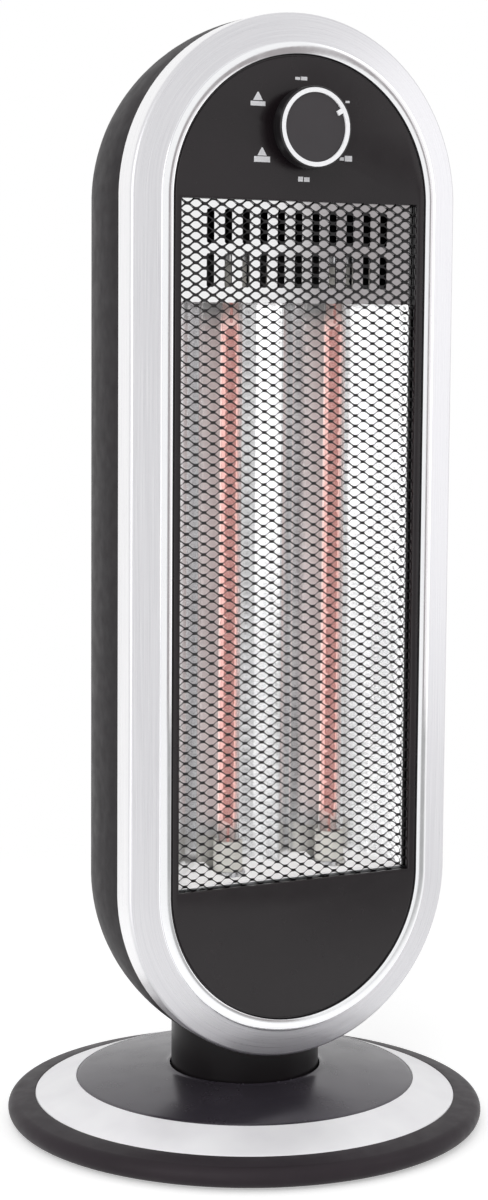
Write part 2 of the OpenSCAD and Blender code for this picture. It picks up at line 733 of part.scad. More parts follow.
module motor_screws() color("#8c8c90") {
  for (side = [-1, 1]) translate([side * (motor_r + 4), motor_y, motor_z + 1]) rotate([180, 0, 0]) screw(floor_t + 1);
}

module shell_screws() color("#8c8c90") {
  for (p = posts) facing(screw_seat_f) translate(p) screw(flange_f - screw_seat_f + 2.5);
}

module drive_crank() color("#f2f0e8") {
  arm_end = 4.5;
  translate([0, motor_y, crank_z]) {
    cylinder(r = 6, h = crank_t);
    translate([-arm_end, 0, 0]) cube([2 * arm_end, crank_r, crank_t]);
    translate([0, crank_r, 0]) cylinder(r = arm_end, h = crank_t);
    cylinder(r = 2, h = crank_t + 7);
    translate([0, crank_r, hub_top_z + 0.6 - crank_z]) cylinder(r = pin_r, h = crank_z - hub_top_z);
  }
}

module crank_roller() color("#c9c9cc") {
  translate([0, motor_y + crank_r, 0]) ring(roller_r, pin_r + 0.05, hub_top_z + 0.6, crank_z - hub_top_z - 0.7);
}

module knob() color("#4b474c") {
  rim = 0.8;
  wall_r = 2;
  dish_f = knob_face_f - knob_ring_t;
  dish_back_f = dish_f - 1.8;
  head_f = knob_back_f + knob_foot_h;
  translate([0, 0, knob_z]) rotate([90, 0, 0]) difference() {
    union() {
      rotate_extrude() polygon(concat(
        [[0, dish_back_f], [0, dish_f], [knob_ring_r + seat, dish_f], [knob_ring_r + seat, knob_face_f]],
        arc([knob_r - rim, knob_face_f - rim], rim, 90, 0, 5),
        [[knob_r, head_f], [knob_foot_r, head_f], [knob_foot_r, knob_back_f],
         [knob_foot_r - wall_r, knob_back_f], [knob_foot_r - wall_r, dish_back_f]]));
      translate([0, 0, knob_back_f + 1.5]) cylinder(r = shaft_r + 3, h = dish_f - knob_back_f - 2.5);
    }
    translate([0, 0, knob_back_f]) cylinder(r = shaft_r + seat, h = dish_f - knob_back_f - 2.5);
  }
}

// The ring lies in the dish of the knob's face, with the pointer on its inside
module knob_ring() color("#f6f6f8") {
  pointer_l = 3;
  pointer_w = 2.6;
  translate([0, 0, knob_z]) rotate([90, 0, 0]) translate([0, 0, knob_face_f - knob_ring_t])
    linear_extrude(knob_ring_t) {
      difference() {
        circle(knob_ring_r);
        circle(knob_ring_r - knob_ring_w);
      }
      rotate([0, 0, off_angle]) translate([knob_ring_r - knob_ring_w - pointer_l, -pointer_w / 2])
        square([pointer_l + knob_ring_w / 2, pointer_w]);
    }
}

module switch_shaft() color("#c9c9cc") {
  facing(switch_back_f + 6.2) translate([0, knob_z]) cylinder(r = shaft_r, h = knob_face_f - 5 - switch_back_f - 6.2);
}

base_plate();
base_rim();
base_trim_ring();
base_dome();
base_feet();
base_screws();
swivel_hub();
thrust_washer();
swing_yoke();
hub_screws();
cord_bush();
tip_switch();
plunger_spring();
tip_plunger();
neck();
rear_shell();
front_bezel();
front_panel();
mesh_guard();
vent_plate();
reflector();
reflector_floor();
inner_chassis();
upper_bracket();
lower_bracket();
quartz_tubes();
carbon_filaments();
tube_caps();
tube_clips();
rotary_switch();
thermal_cutout();
terminal_block();
wiring_loom();
oscillation_motor();
motor_screws();
shell_screws();
drive_crank();
crank_roller();
knob();
knob_ring();
switch_shaft();
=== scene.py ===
"""Carbon tower heater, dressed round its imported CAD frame.

Sizes are written in millimetres and turned into metres by mm. Depths named f are measured forwards
from the swing axis, so a point at depth f has y = -f. Angles are in degrees.
"""
import math

import bmesh
import bpy
from mathutils import Matrix, Vector


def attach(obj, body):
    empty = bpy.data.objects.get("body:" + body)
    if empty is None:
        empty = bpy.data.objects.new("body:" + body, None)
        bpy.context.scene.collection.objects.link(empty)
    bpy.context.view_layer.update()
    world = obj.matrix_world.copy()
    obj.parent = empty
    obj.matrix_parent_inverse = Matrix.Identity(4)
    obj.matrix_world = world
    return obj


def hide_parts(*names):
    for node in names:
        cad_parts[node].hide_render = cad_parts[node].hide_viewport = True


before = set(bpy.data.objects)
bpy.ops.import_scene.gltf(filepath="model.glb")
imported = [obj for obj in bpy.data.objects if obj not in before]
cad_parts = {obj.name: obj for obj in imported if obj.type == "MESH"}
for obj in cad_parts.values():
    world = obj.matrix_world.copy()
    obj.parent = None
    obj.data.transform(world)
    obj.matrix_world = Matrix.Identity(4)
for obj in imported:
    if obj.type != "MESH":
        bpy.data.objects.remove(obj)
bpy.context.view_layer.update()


# --- Camera ---------------------------------------
# The photographer stood to the heater's left and a little above its middle, with a long lens.
# The place and turn were found from the outlines of the base, the casing and the window.
mm = 0.001
camera_place = Vector((-667.07, -1233.92, 450.24))
camera_yaw, camera_pitch, camera_roll = -28.3022, 6.2454, 0.421
lens_mm = 75.371

yaw, pitch, roll = (math.radians(a) for a in (camera_yaw, camera_pitch, camera_roll))
ahead = Vector((-math.sin(yaw) * math.cos(pitch), math.cos(yaw) * math.cos(pitch), -math.sin(pitch)))
right = Vector((math.cos(yaw), math.sin(yaw), 0))
above = right.cross(ahead)
across = right * math.cos(roll) + above * math.sin(roll)
upward = above * math.cos(roll) - right * math.sin(roll)
facing = Matrix((across, upward, -ahead)).transposed().to_4x4()
bpy.ops.object.camera_add()
camera = bpy.context.object
camera.name = "camera"
camera.data.lens = lens_mm
camera.data.clip_start = 0.05
camera.matrix_world = Matrix.Translation(camera_place * mm) @ facing
bpy.context.scene.camera = camera
bpy.context.scene.view_settings.view_transform = "Standard"


# --- Studio ---------------------------------------
# A white room: a pale round floor that keeps the heater's shadow and fades into the white behind it, an
# even sky, two soft lamps and a tall soft box on the left. Gloss also sees a dim doorway, front right.
sky_light, floor_glow = 0.66, 0.42
floor_r, fade_start, fade_end = 1.6, 0.22, 0.75
white = (1.0, 1.0, 1.0, 1.0)
doorway_grey = (0.40, 0.375, 0.38, 1.0)
doorway_turn, doorway_rise, doorway_stretch = 38.5, -3.0, 0.5
doorway_half, doorway_blur = 11.3, 0.9
soft_box_turn = -62


def node(owner, kind, *inputs, **settings):
    """Adds a node to a world or material. Its inputs, in order, are sockets to link or values to set."""
    made = owner.node_tree.nodes.new(f"ShaderNode{kind}")
    for setting, value in settings.items():
        setattr(made, setting, value)
    for socket, value in zip(made.inputs, inputs):
        if isinstance(value, bpy.types.NodeSocket):
            owner.node_tree.links.new(value, socket)
        elif value is not None:
            socket.default_value = value
    return made


def maths(owner, operation, *inputs):
    """The result of a Math node."""
    return node(owner, "Math", *inputs, operation=operation).outputs[0]


def vectors(owner, operation, *inputs):
    """The result of a Vector Math node."""
    outputs = node(owner, "VectorMath", *inputs, operation=operation).outputs
    return outputs["Value" if operation in ("LENGTH", "DOT_PRODUCT") else "Vector"]


def ramp(owner, source, start, end, low, high, soft=False):
    """Turns start to end into low to high."""
    shape = "SMOOTHSTEP" if soft else "LINEAR"
    return node(owner, "MapRange", source, start, end, low, high, interpolation_type=shape).outputs[0]


def mixed(owner, factor, colour, other):
    """A colour between two colours."""
    mix = node(owner, "Mix", data_type="RGBA")
    mix.inputs["A"].default_value, mix.inputs["B"].default_value = colour, other
    owner.node_tree.links.new(factor, mix.inputs["Factor"])
    return mix.outputs["Result"]


def seen_directly(owner):
    """1 for rays of the camera, of gloss and of glass, and 0 for others."""
    path = node(owner, "LightPath").outputs
    seen = maths(owner, "MAXIMUM", path["Is Camera Ray"], path["Is Glossy Ray"])
    return maths(owner, "MAXIMUM", seen, path["Is Transmission Ray"])


def show(owner, kind, factor, hidden, shown):
    """Blends two shaders and hands them to the output."""
    blend = node(owner, "MixShader", factor, hidden.outputs[0], shown.outputs[0])
    owner.node_tree.links.new(blend.outputs[0], owner.node_tree.nodes[f"{kind} Output"].inputs["Surface"])


def finish(name, colour, roughness, **sockets):
    """A new material whose shader holds the values that are the same all over."""
    material = bpy.data.materials.new(name)
    material.use_nodes = True
    shader = material.node_tree.nodes["Principled BSDF"]
    shader.inputs["Base Color"].default_value = (*colour, 1)
    shader.inputs["Roughness"].default_value = roughness
    for socket, value in sockets.items():
        shader.inputs[socket.replace("_", " ")].default_value = value
    return material


world = bpy.data.worlds.new("white_room")
world.use_nodes = True
bpy.context.scene.world = world
sky = world.node_tree.nodes["Background"]
sky.inputs["Color"].default_value = white
sky.inputs["Strength"].default_value = sky_light
door_a, door_e = math.radians(doorway_turn), math.radians(doorway_rise)
door_way = Vector((math.sin(door_a) * math.cos(door_e), -math.cos(door_a) * math.cos(door_e),
                   math.sin(door_e) * doorway_stretch)).normalized()
looking = vectors(world, "MULTIPLY", node(world, "TexCoord").outputs["Generated"], (1, 1, doorway_stretch))
nearness = vectors(world, "DOT_PRODUCT", vectors(world, "NORMALIZE", looking), door_way)
edges = [math.cos(math.radians(doorway_half + side * doorway_blur)) for side in (1, -1)]
doorway = maths(world, "MULTIPLY", ramp(world, nearness, *edges, 0, 1, soft=True),
                node(world, "LightPath").outputs["Is Glossy Ray"])
seen = node(world, "Background", mixed(world, doorway, white, doorway_grey), 1.0)
show(world, "World", seen_directly(world), sky, seen)

bpy.ops.mesh.primitive_circle_add(vertices=96, radius=floor_r, fill_type="NGON")
floor = bpy.context.object
floor.name = "studio_floor"
paint = finish("floor_paint", (0.86, 0.86, 0.86), 0.9, Specular_IOR_Level=0.0)
directly = seen_directly(paint)
glow = node(paint, "Emission", white, maths(paint, "MULTIPLY", directly, floor_glow))
lit = node(paint, "AddShader", paint.node_tree.nodes["Principled BSDF"].outputs[0], glow.outputs[0])
spot = node(paint, "TexCoord").outputs["Object"]
far = ramp(paint, vectors(paint, "LENGTH", spot), fade_start, fade_end, 0, 1, soft=True)
way = vectors(paint, "NORMALIZE", spot)
in_gloss = node(paint, "LightPath").outputs["Is Glossy Ray"]
# Painted light and shade, seen only in gloss: further out, the floor is painted brighter towards the soft
# box on the left and darker towards the doorway, front right.
painted_floor_light_and_shade = 1.0
for turn, half, change in ((soft_box_turn, 26, 0.9), (doorway_turn, 14, -0.55)):
    middle = (math.sin(math.radians(turn)), -math.cos(math.radians(turn)), 0)
    near = ramp(paint, vectors(paint, "DOT_PRODUCT", way, middle), math.cos(math.radians(half)),
                math.cos(math.radians(half / 2)), 0, change, soft=True)
    painted_floor_light_and_shade = maths(paint, "ADD", maths(paint, "MULTIPLY", near, in_gloss), painted_floor_light_and_shade)
show(paint, "Material", maths(paint, "MULTIPLY", far, directly), lit, node(paint, "Emission", white, painted_floor_light_and_shade))
floor.data.materials.append(paint)

for name, place, aim, size, watts, in_gloss in (
        ("key_lamp", (-1.5, -2.2, 2.4), (0, 0, 0.3), (1.6, 1.6), 24, False),
        ("fill_lamp", (2.2, -1.4, 0.8), (0, 0, 0.5), (2.0, 2.2), 8, True),
        ("soft_box", (-1.88, -1.22, 0.82), (0, 0, 0.82), (1.9, 1.6), 12, True)):
    bpy.ops.object.light_add(type="AREA", location=place)
    lamp = bpy.context.object
    lamp.name = name
    lamp.data.energy = watts
    lamp.data.shape = "RECTANGLE"
    lamp.data.size, lamp.data.size_y = size
    lamp.rotation_euler = (Vector(aim) - Vector(place)).to_track_quat("-Z", "Y").to_euler()
    lamp.visible_glossy = in_gloss
    lamp.visible_camera = False


# --- Base rim -------------------------------------
# The dark skirt of the base is moulded in satin ABS. Its edge is a half round that the floor doesn't
# touch, and a step inside it takes the silver ring.
rim_sides = 160
sharp_angle = 32
noise_low, noise_high, noise_fade = 0.3, 0.7, 0.55
drift_size, rub_size, flow_size = 38, 9, 14


def close_mesh():
    """Leaves edit mode."""
    bpy.ops.object.mode_set(mode="OBJECT")


def hold(*pieces):
    """Selects only these pieces, leaves edit mode and makes the first of them active."""
    if bpy.context.mode != "OBJECT":
        close_mesh()
    bpy.ops.object.select_all(action="DESELECT")
    for piece in pieces:
        piece.select_set(True)
    if pieces:
        bpy.context.view_layer.objects.active = pieces[0]


def open_mesh(piece):
    """Opens a piece in edit mode, with its whole mesh selected."""
    hold(piece)
    bpy.ops.object.mode_set(mode="EDIT")
    bpy.ops.mesh.select_all(action="SELECT")


def close_up():
    """Welds what meets, points all faces outwards and leaves edit mode."""
    bpy.ops.mesh.select_all(action="SELECT")
    bpy.ops.mesh.remove_doubles(threshold=0.002 * mm)
    bpy.ops.mesh.normals_make_consistent(inside=False)
    close_mesh()


def extrude(way):
    """Extrudes what is selected, by a move in metres."""
    bpy.ops.mesh.extrude_region_move(TRANSFORM_OT_translate={"value": way})


def new_piece(name):
    """Names the piece that was just made, and writes its place into its mesh."""
    piece = bpy.context.object
    piece.name = piece.data.name = name
    bpy.ops.object.transform_apply()
    return piece


def on_circle(radius, turn, middle=(0, 0)):
    """The point at an angle on a circle."""
    a = math.radians(turn)
    return middle[0] + radius * math.cos(a), middle[1] + radius * math.sin(a)


def bend(middle, radius, start, end, steps=8):
    """Points on an arc about a middle, from one angle to another."""
    return [on_circle(radius, start + (end - start) * i / steps, middle) for i in range(steps + 1)]


def turned(name, profile, axis="Z", middle=(0, 0), sides=128):
    """A piece from the lathe: a circle taken through a profile of (radius, place along the axis).

    A profile that ends where it began makes a ring. Any other makes a solid with two flat ends.
    """
    ring = profile[0] == profile[-1]
    upright = axis == "Z"

    def along(s):
        return Vector((*middle, s) if upright else (middle[0], -s, middle[1])) * mm

    half_step = math.pi / sides
    hold()
    bpy.ops.mesh.primitive_circle_add(
        vertices=sides, radius=profile[0][0] * mm, location=along(profile[0][1]),
        rotation=(0, 0, half_step) if upright else (math.pi / 2, -half_step, 0),
        fill_type="NOTHING" if ring else "NGON")
    piece = new_piece(name)
    open_mesh(piece)
    for (r0, s0), (r1, s1) in zip(profile, profile[1:]):
        extrude(along(s1) - along(s0))
        grow = (r1 / r0, r1 / r0, 1) if upright else (r1 / r0, 1, r1 / r0)
        bpy.ops.transform.resize(value=grow, center_override=along(s1))
    close_up()
    return piece


def fit(piece, body, slot, material, *nodes):
    """Shades a finished piece, gives it its material and body, and hides the CAD nodes it stands for. Its
    slot is not used.
    """
    hold(piece)
    bpy.ops.object.shade_smooth_by_angle(angle=math.radians(sharp_angle))
    if not piece.data.materials:
        piece.data.materials.append(material)
    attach(piece, body)
    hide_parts(*nodes)


def place_of(material, stretch=(1, 1, 1)):
    """Places on the piece in metres, stretched along each axis."""
    return vectors(material, "MULTIPLY", node(material, "TexCoord").outputs["Object"], stretch)


def cloud(material, size, stretch=(1, 1, 1), detail=2.0, where=None):
    """Noise whose lumps measure size in millimetres, from 0 to 1."""
    return node(material, "TexNoise", where or place_of(material, stretch), None, 1000 / size, detail,
                noise_fade).outputs[0]


def spread(material, source, low, high):
    """Turns noise into values between low and high."""
    return ramp(material, source, noise_low, noise_high, low, high)


def feed(material, socket, source):
    """Links a source to a socket of the shader."""
    shader = material.node_tree.nodes["Principled BSDF"]
    material.node_tree.links.new(source, shader.inputs[socket])


def tint(material, factor, colour, other):
    """Lets the colour go from one colour to another."""
    feed(material, "Base Color", mixed(material, factor, (*colour, 1), (*other, 1)))


def mottle(material, size, colour, other, stretch=(1, 1, 1)):
    """Lets the colour drift between two colours, in lumps of a size."""
    tint(material, spread(material, cloud(material, size, stretch), 0, 1), colour, other)


def shine(material, source, low, high):
    """Lets noise take the roughness from low to high."""
    feed(material, "Roughness", spread(material, source, low, high))


def relief(material, source, height, under=None):
    """Raises the surface by up to a height in millimetres. A second relief lies on the one under it."""
    bump = node(material, "Bump", 1.0, height * mm)
    material.node_tree.links.new(source, bump.inputs["Height"])
    if under:
        material.node_tree.links.new(under, bump.inputs["Normal"])
    feed(material, "Normal", bump.outputs[0])
    return bump.outputs[0]


def moulded(name, colour, roughness, grain=0.35, grain_height=0.012, drift=0.12, **sockets):
    """Moulded plastic: a fine spark-eroded grain, a drift in colour and shine, and faint rubbed patches."""
    material = finish(name, colour, roughness, **sockets)
    mottle(material, drift_size, colour, [c * (1 + drift * 2) for c in colour])
    shine(material, cloud(material, rub_size, detail=4), roughness * (1 - drift), roughness * (1 + drift))
    flow = relief(material, cloud(material, flow_size, detail=1), grain_height * 1.5)
    relief(material, cloud(material, grain, detail=1), grain_height, flow)
    return material


# The rim has a lighter copy of the casing's black plastic: painted light that lifts its front. The rear
# shell has the darker copy.
rim_black_painted_light = moulded("rim_black_painted_light", (0.024, 0.0188, 0.0226), 0.44, IOR=1.4, Specular_IOR_Level=0.2)
rim_edge = bend((129, 7.5), 6, -65, 78, 22)
rim = turned("rim_skirt", [
    *rim_edge, (124.5, 14.4), (120.3, 15.13), (119.95, 15.1), (119.75, 14.9), (119.7, 13.4), (97.7, 22.0),
    (97.7, 21.5), (86.3, 21.5), (86.1, 21.3), (86.1, 19.2), (86.3, 19.0), (99.2, 19.0), (116.5, 11.1),
    (128, 10.1), (131.5, 6.5), (126.3, 2.1), rim_edge[0]], sides=rim_sides)
fit(rim, "base", "casing_plastic", rim_black_painted_light, "base_rim")


# --- Base ring ------------------------------------
# A sloping ring, pressed from sheet and spun to a satin silver, drops into the step of the rim.
# Its fine lines run round it, and its two edges are rolled over.
ring_out, ring_in, ring_step = 119.5, 96.2, 0.39056


def ring_height(radius):
    """Height of the silver ring's face at a radius."""
    return 15.2 + (ring_out - radius) * ring_step


def axes(material):
    """The place on the piece, as x, y and z in metres."""
    return node(material, "SeparateXYZ", place_of(material)).outputs


def length_of(material, a, b):
    """The length of a line with two legs."""
    return vectors(material, "LENGTH", node(material, "CombineXYZ", a, b, 0.0).outputs[0])


def fine_lines(material, radius, height, along, fine, long, detail):
    """Lines of a lathe or a brush, which change fast over radius and height, and slowly along."""
    fast = [maths(material, "MULTIPLY", way, long / fine) for way in (radius, height)]
    where = node(material, "CombineXYZ", *fast, along).outputs[0]
    return cloud(material, long, detail=detail, where=where)


spun_silver = finish("spun_silver", (0.83, 0.82, 0.845), 0.42, Metallic=0.25)
x, y, z = axes(spun_silver)
spun = fine_lines(spun_silver, length_of(spun_silver, x, y), z, maths(spun_silver, "ADD", y, x),
                  fine=0.10, long=45, detail=3)
mottle(spun_silver, 30, (0.86, 0.85, 0.875), (0.93, 0.925, 0.94))
shine(spun_silver, spun, 0.34, 0.52)
relief(spun_silver, spun, 0.006)

ring = turned("base_ring", [
    (ring_out, 13.6), (ring_out, 14.7), (119.42, 14.98), (119.2, 15.2), (118.8, ring_height(118.8)),
    (108, ring_height(108) + 0.12), (97.0, ring_height(97.0)), (96.6, 24.15), (96.3, 24.1), (ring_in, 23.9),
    (ring_in, 22.7), (97.2, 22.3), (118.6, 13.7), (ring_out, 13.6)], sides=rim_sides)
fit(ring, "base", "ring_silver", spun_silver, "base_trim_ring")


# --- Base dome ------------------------------------
# The shallow dome inside the ring is moulded in high-gloss black. It has a rolled lip round the hole
# through which the neck passes.
dome_ball, dome_ball_z, dome_wall = 578.4, -546.3, 2.5
dome_edge, dome_lip, dome_hole = 96.1, 45.6, 42.8


def dome_height(radius):
    """Height of the dome's face at a radius."""
    return dome_ball_z + math.sqrt(dome_ball ** 2 - radius ** 2)


gloss_black = finish("gloss_black", (0.026, 0.0225, 0.029), 0.24, IOR=1.52,
                     Specular_Tint=(0.94, 0.89, 1.0, 1))
shine(gloss_black, cloud(gloss_black, 22, detail=5), 0.2, 0.3)
mottle(gloss_black, 55, (0.027, 0.0232, 0.030), (0.035, 0.0305, 0.039))
relief(gloss_black, cloud(gloss_black, 26, detail=1), 0.03)

dome_steps = 24
dome_start = dome_edge - 0.6
dome_radii = [dome_start - (dome_start - dome_lip) * i / dome_steps for i in range(dome_steps + 1)]
dome = turned("glossy_dome", [
    (dome_edge, 21.6), (dome_edge, 23.6), (95.95, 23.9), *[(r, dome_height(r)) for r in dome_radii],
    (44.6, 30.6), (43.9, 31.0), (43.3, 31.1), (42.9, 30.95), (dome_hole, 30.5), (dome_hole, 28.1),
    *[(r, dome_height(r) - dome_wall) for r in dome_radii[::-3]], (93.6, 21.5), (dome_edge - 0.2, 21.5),
    (dome_edge, 21.6)], sides=rim_sides)
fit(dome, "base", "dome_plastic", gloss_black, "base_dome")


# --- Base plate, feet and bush --------------------
# A plain moulded plate closes the base from below. Six rubber feet with a moulded groove are pressed
# into it, and a rubber bush sits in the back of the rim where the mains lead would leave.
foot_count, foot_place = 6, 102


def join(first, *others):
    """Joins pieces into the first one."""
    hold(first, *others)
    if others:
        bpy.ops.object.join()
    return first


def placed(place, turn, axis):
    """A turn about an axis through the origin, and then a move in millimetres."""
    return Matrix.Translation(Vector(place) * mm) @ Matrix.Rotation(math.radians(turn), 4, axis)


def put(piece, place=(0, 0, 0), turn=0, axis="X"):
    """Turns and moves a piece, and writes its new place into its mesh."""
    piece.matrix_world = placed(place, turn, axis)
    hold(piece)
    bpy.ops.object.transform_apply()
    return piece


def copies(piece, moves):
    """The piece at each of its places, joined into one mesh. A move is a place and a turn about Z."""
    made = []
    for place, turn in moves:
        copy = piece.copy()
        copy.data = piece.data.copy()
        bpy.context.collection.objects.link(copy)
        copy.matrix_world = placed(place, turn, "Z")
        made.append(copy)
    name = piece.name
    bpy.data.objects.remove(piece)
    join(*made)
    return new_piece(name)


def round_about(count, radius, turn=0, height=0):
    """Moves to places evenly round the base's axis."""
    turns = [turn + 360 * i / count for i in range(count)]
    return [((*on_circle(radius, a), height), a) for a in turns]


def at(places, depth=0):
    """Moves to places (x, z) at a depth, without a turn."""
    return [((x, -depth, z), 0) for x, z in places]


def dress(material, *names):
    """CAD nodes that keep their own mesh get their finish in their material slots."""
    for name in names:
        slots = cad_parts[name].material_slots
        for each in slots:
            each.material = material
        if not slots:
            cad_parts[name].data.materials.append(material)


plain_black = moulded("plain_black", (0.012, 0.0115, 0.012), 0.48, grain=0.8, grain_height=0.03)
dress(plain_black, "base_plate")

foot_rubber = moulded("foot_rubber", (0.009, 0.009, 0.009), 0.78, grain=0.5, grain_height=0.05,
                      Sheen_Weight=0.15)
foot = turned("rubber_feet", [
    (3.2, 0.5), (3.4, 0.15), (3.8, 0.0), (6.6, 0.0), (7.0, 0.3), (7.3, 0.3), (7.7, 0.0), (8.4, 0.05),
    (8.85, 0.3), (9.0, 0.8), (9.0, 3.0)], sides=48)
fit(copies(foot, round_about(foot_count, foot_place)), "base", "foot_rubber", foot_rubber, "base_feet")

bush = turned("lead_bush", [
    (2.6, -126.9), (3.4, -126.9), (3.4, -134.2), (3.3, -134.5), (3.0, -134.7), (2.75, -134.6),
    (2.6, -134.3), (2.6, -126.9)], axis="Y", middle=(0, 7), sides=40)
fit(bush, "base", "foot_rubber", foot_rubber, "cord_bush")


# --- Screws of the base and the swivel ------------
# Zinc-plated pan-head screws with a cross recess. Six hold the plate to the rim, four the hub to the
# plate and three the yoke to the hub.
recess_long, recess_short = 1.7, 0.32


def metal(name, colour, roughness, lumps, tones, marks, rough, height, stretch=(1, 1, 1), detail=3):
    """Bare metal, with a drift in colour, and marks of its making in its shine and surface."""
    material = finish(name, colour, roughness, Metallic=1.0)
    made = cloud(material, marks, stretch, detail)
    mottle(material, lumps, *tones)
    shine(material, made, *rough)
    relief(material, made, height)
    return material


def modified(piece, kind, **settings):
    """Applies one modifier to a piece."""
    hold(piece)
    bpy.ops.object.modifier_add(type=kind)
    change = piece.modifiers[-1]
    for setting, value in settings.items():
        setattr(change, setting, value)
    bpy.ops.object.modifier_apply(modifier=change.name)
    return piece


def block(name, low, high, rounding=0.0):
    """A block between two corners, with all its edges rounded."""
    low, high = Vector(low) * mm, Vector(high) * mm
    hold()
    bpy.ops.mesh.primitive_cube_add(size=1, location=(low + high) / 2, scale=high - low)
    piece = new_piece(name)
    if rounding:
        open_mesh(piece)
        bpy.ops.mesh.bevel(offset=rounding * mm, segments=2, affect="EDGES")
        close_mesh()
    return piece


def cut(piece, tool, how="DIFFERENCE"):
    """Cuts a tool's shape out of a piece, adds it, or keeps what both fill. The tool is used up."""
    modified(piece, "BOOLEAN", operation=how, solver="EXACT", object=tool)
    bpy.data.objects.remove(tool)
    return piece


def screw(name, length):
    """A screw that points up from the origin: a pan head with a cross recess, and a shank with a cone."""
    made = turned(name, [(1.4, -1.6), (2.1, -1.55), (2.55, -1.25), (2.75, -0.8), (2.8, 0.0), (1.5, 0.0),
                         (1.5, length - 1.2), (0.4, length)], sides=28)
    for half_x, half_y in ((recess_long, recess_short), (recess_short, recess_long)):
        cut(made, block("recess", (-half_x, -half_y, -2.2), (half_x, half_y, -0.6)))
    return made


zinc_plate = metal("zinc_plate", (0.52, 0.52, 0.55), 0.3, lumps=3.5, marks=1.4, rough=(0.24, 0.42),
                   tones=((0.50, 0.50, 0.54), (0.60, 0.59, 0.56)), height=0.01, detail=4)
plate_screws = copies(screw("plate_screws", 8.5), round_about(6, 108, 30, 2.0))
fit(plate_screws, "base", "screw_steel", zinc_plate, "base_screws")
hub_screws = copies(screw("hub_and_yoke_screws", 11.5), round_about(4, 42, 45, 2.0))
yoke_screws = copies(put(screw("yoke_screws", 9), turn=180), round_about(3, 30.5, -90, 37.4))
fit(join(hub_screws, yoke_screws), "base", "screw_steel", zinc_plate, "hub_screws")


# --- Swivel ---------------------------------------
# The hub is moulded in acetal and carries the neck on a slippery washer. The pressed yoke plate on
# top has the radial slot in which the motor's crank works. They keep their CAD meshes.
acetal = moulded("acetal", (0.74, 0.72, 0.66), 0.42, grain=1.2, grain_height=0.01)
dress(acetal, "swivel_hub", "thrust_washer", "drive_crank")
plated_steel = metal("plated_steel", (0.58, 0.58, 0.60), 0.28, lumps=12, marks=6, rough=(0.22, 0.4),
                     tones=((0.55, 0.55, 0.58), (0.64, 0.63, 0.60)), height=0.008, stretch=(1, 14, 1))
dress(plated_steel, "swing_yoke", "crank_roller", "switch_shaft")


# --- Tip-over switch ------------------------------
# A red plunger through the base plate is held up by the floor. A light coil spring pushes it down,
# and the switch above it cuts the heater off.
spring_r, spring_wire, spring_pitch, spring_turns = 5.0, 0.38, 0.83, 3
spring_place = (0, 78, 13.45)


def wound(piece, pitch, turns, steps):
    """Winds a wire's outline round the Z axis and closes its two ends."""
    modified(piece, "SCREW", axis="Z", steps=steps, render_steps=steps, iterations=turns,
             screw_offset=pitch * mm, use_merge_vertices=False)
    open_mesh(piece)
    bpy.ops.mesh.remove_doubles(threshold=0.001 * mm)
    bpy.ops.mesh.fill_holes(sides=12)
    close_up()
    return piece


dress(acetal, "tip_switch")
signal_red = moulded("signal_red", (0.52, 0.045, 0.03), 0.4, grain=0.6)
dress(signal_red, "tip_plunger")

hold()
bpy.ops.mesh.primitive_circle_add(vertices=10, radius=spring_wire * mm, location=(spring_r * mm, 0, 0),
                                  rotation=(math.pi / 2, 0, 0))
spring = put(wound(new_piece("coil_spring"), spring_pitch, spring_turns, 24), spring_place)
fit(spring, "base", "clip_steel", plated_steel, "plunger_spring")


# --- Rear shell -----------------------------------
# The back of the casing is one moulding in satin black ABS. It has two groups of louvres, a grip let
# into the back, eight deep screw wells, and posts inside them that reach the bezel.
low_z, high_z, tower_r = 147.6, 516.0, 99.0
straight = high_z - low_z
round_r, round_f, flat_back, round_steps = 42, 34, -45, 20
shell_wall = 2.5
post_circle = 84
post_turns = ((12, high_z), (65, high_z), (115, high_z), (168, high_z),
              (192, low_z), (235, low_z), (305, low_z), (348, low_z))
posts = [on_circle(post_circle, a, (0, z)) for a, z in post_turns]
grip_z = high_z + 37
louvre_x, louvre_half_x, louvre_half_z, louvre_pitch, louvre_count = 26, 23, 1.6, 9, 9


def pick(piece, kind, test):
    """In edit mode, selects the verts, edges or faces whose middle, in millimetres, passes a test."""
    bpy.ops.mesh.select_mode(type={"verts": "VERT", "edges": "EDGE", "faces": "FACE"}[kind])
    bpy.ops.mesh.select_all(action="DESELECT")
    shape = bmesh.from_edit_mesh(piece.data)
    for part in getattr(shape, kind):
        corners = [corner.co for corner in part.verts] if kind != "verts" else [part.co]
        if test(sum(corners, Vector()) / len(corners) / mm):
            part.select_set(True)
    bmesh.update_edit_mesh(piece.data)


def casing_part(name, profile):
    """A turned piece whose upper half goes up by the length of the casing's straight sides."""
    piece = turned(name, profile, "Y", (0, low_z))
    open_mesh(piece)
    pick(piece, "verts", lambda p: p.z > low_z)
    bpy.ops.transform.translate(value=(0, 0, straight * mm))
    close_mesh()
    return piece


def back_curve(inset):
    """The rear shell's rounding from its side to its flat back, moved inwards, as (radius, depth)."""
    turns = [math.radians(90 * i / round_steps) for i in range(round_steps + 1)]
    return [(tower_r - round_r + (round_r - inset) * math.cos(a),
             round_f - (round_f - flat_back - inset) * math.sin(a)) for a in turns]


def casing_form(inset):
    """The whole casing as a solid, moved inwards."""
    return casing_part("casing_form", [(tower_r - inset, 53.4), *back_curve(inset)])


def rod(name, radius, start, end, places, sides=32):
    """Plain rods from one depth to another, one at each place (x, z)."""
    return copies(turned(name, [(radius, start), (radius, end)], axis="Y", sides=sides), at(places))


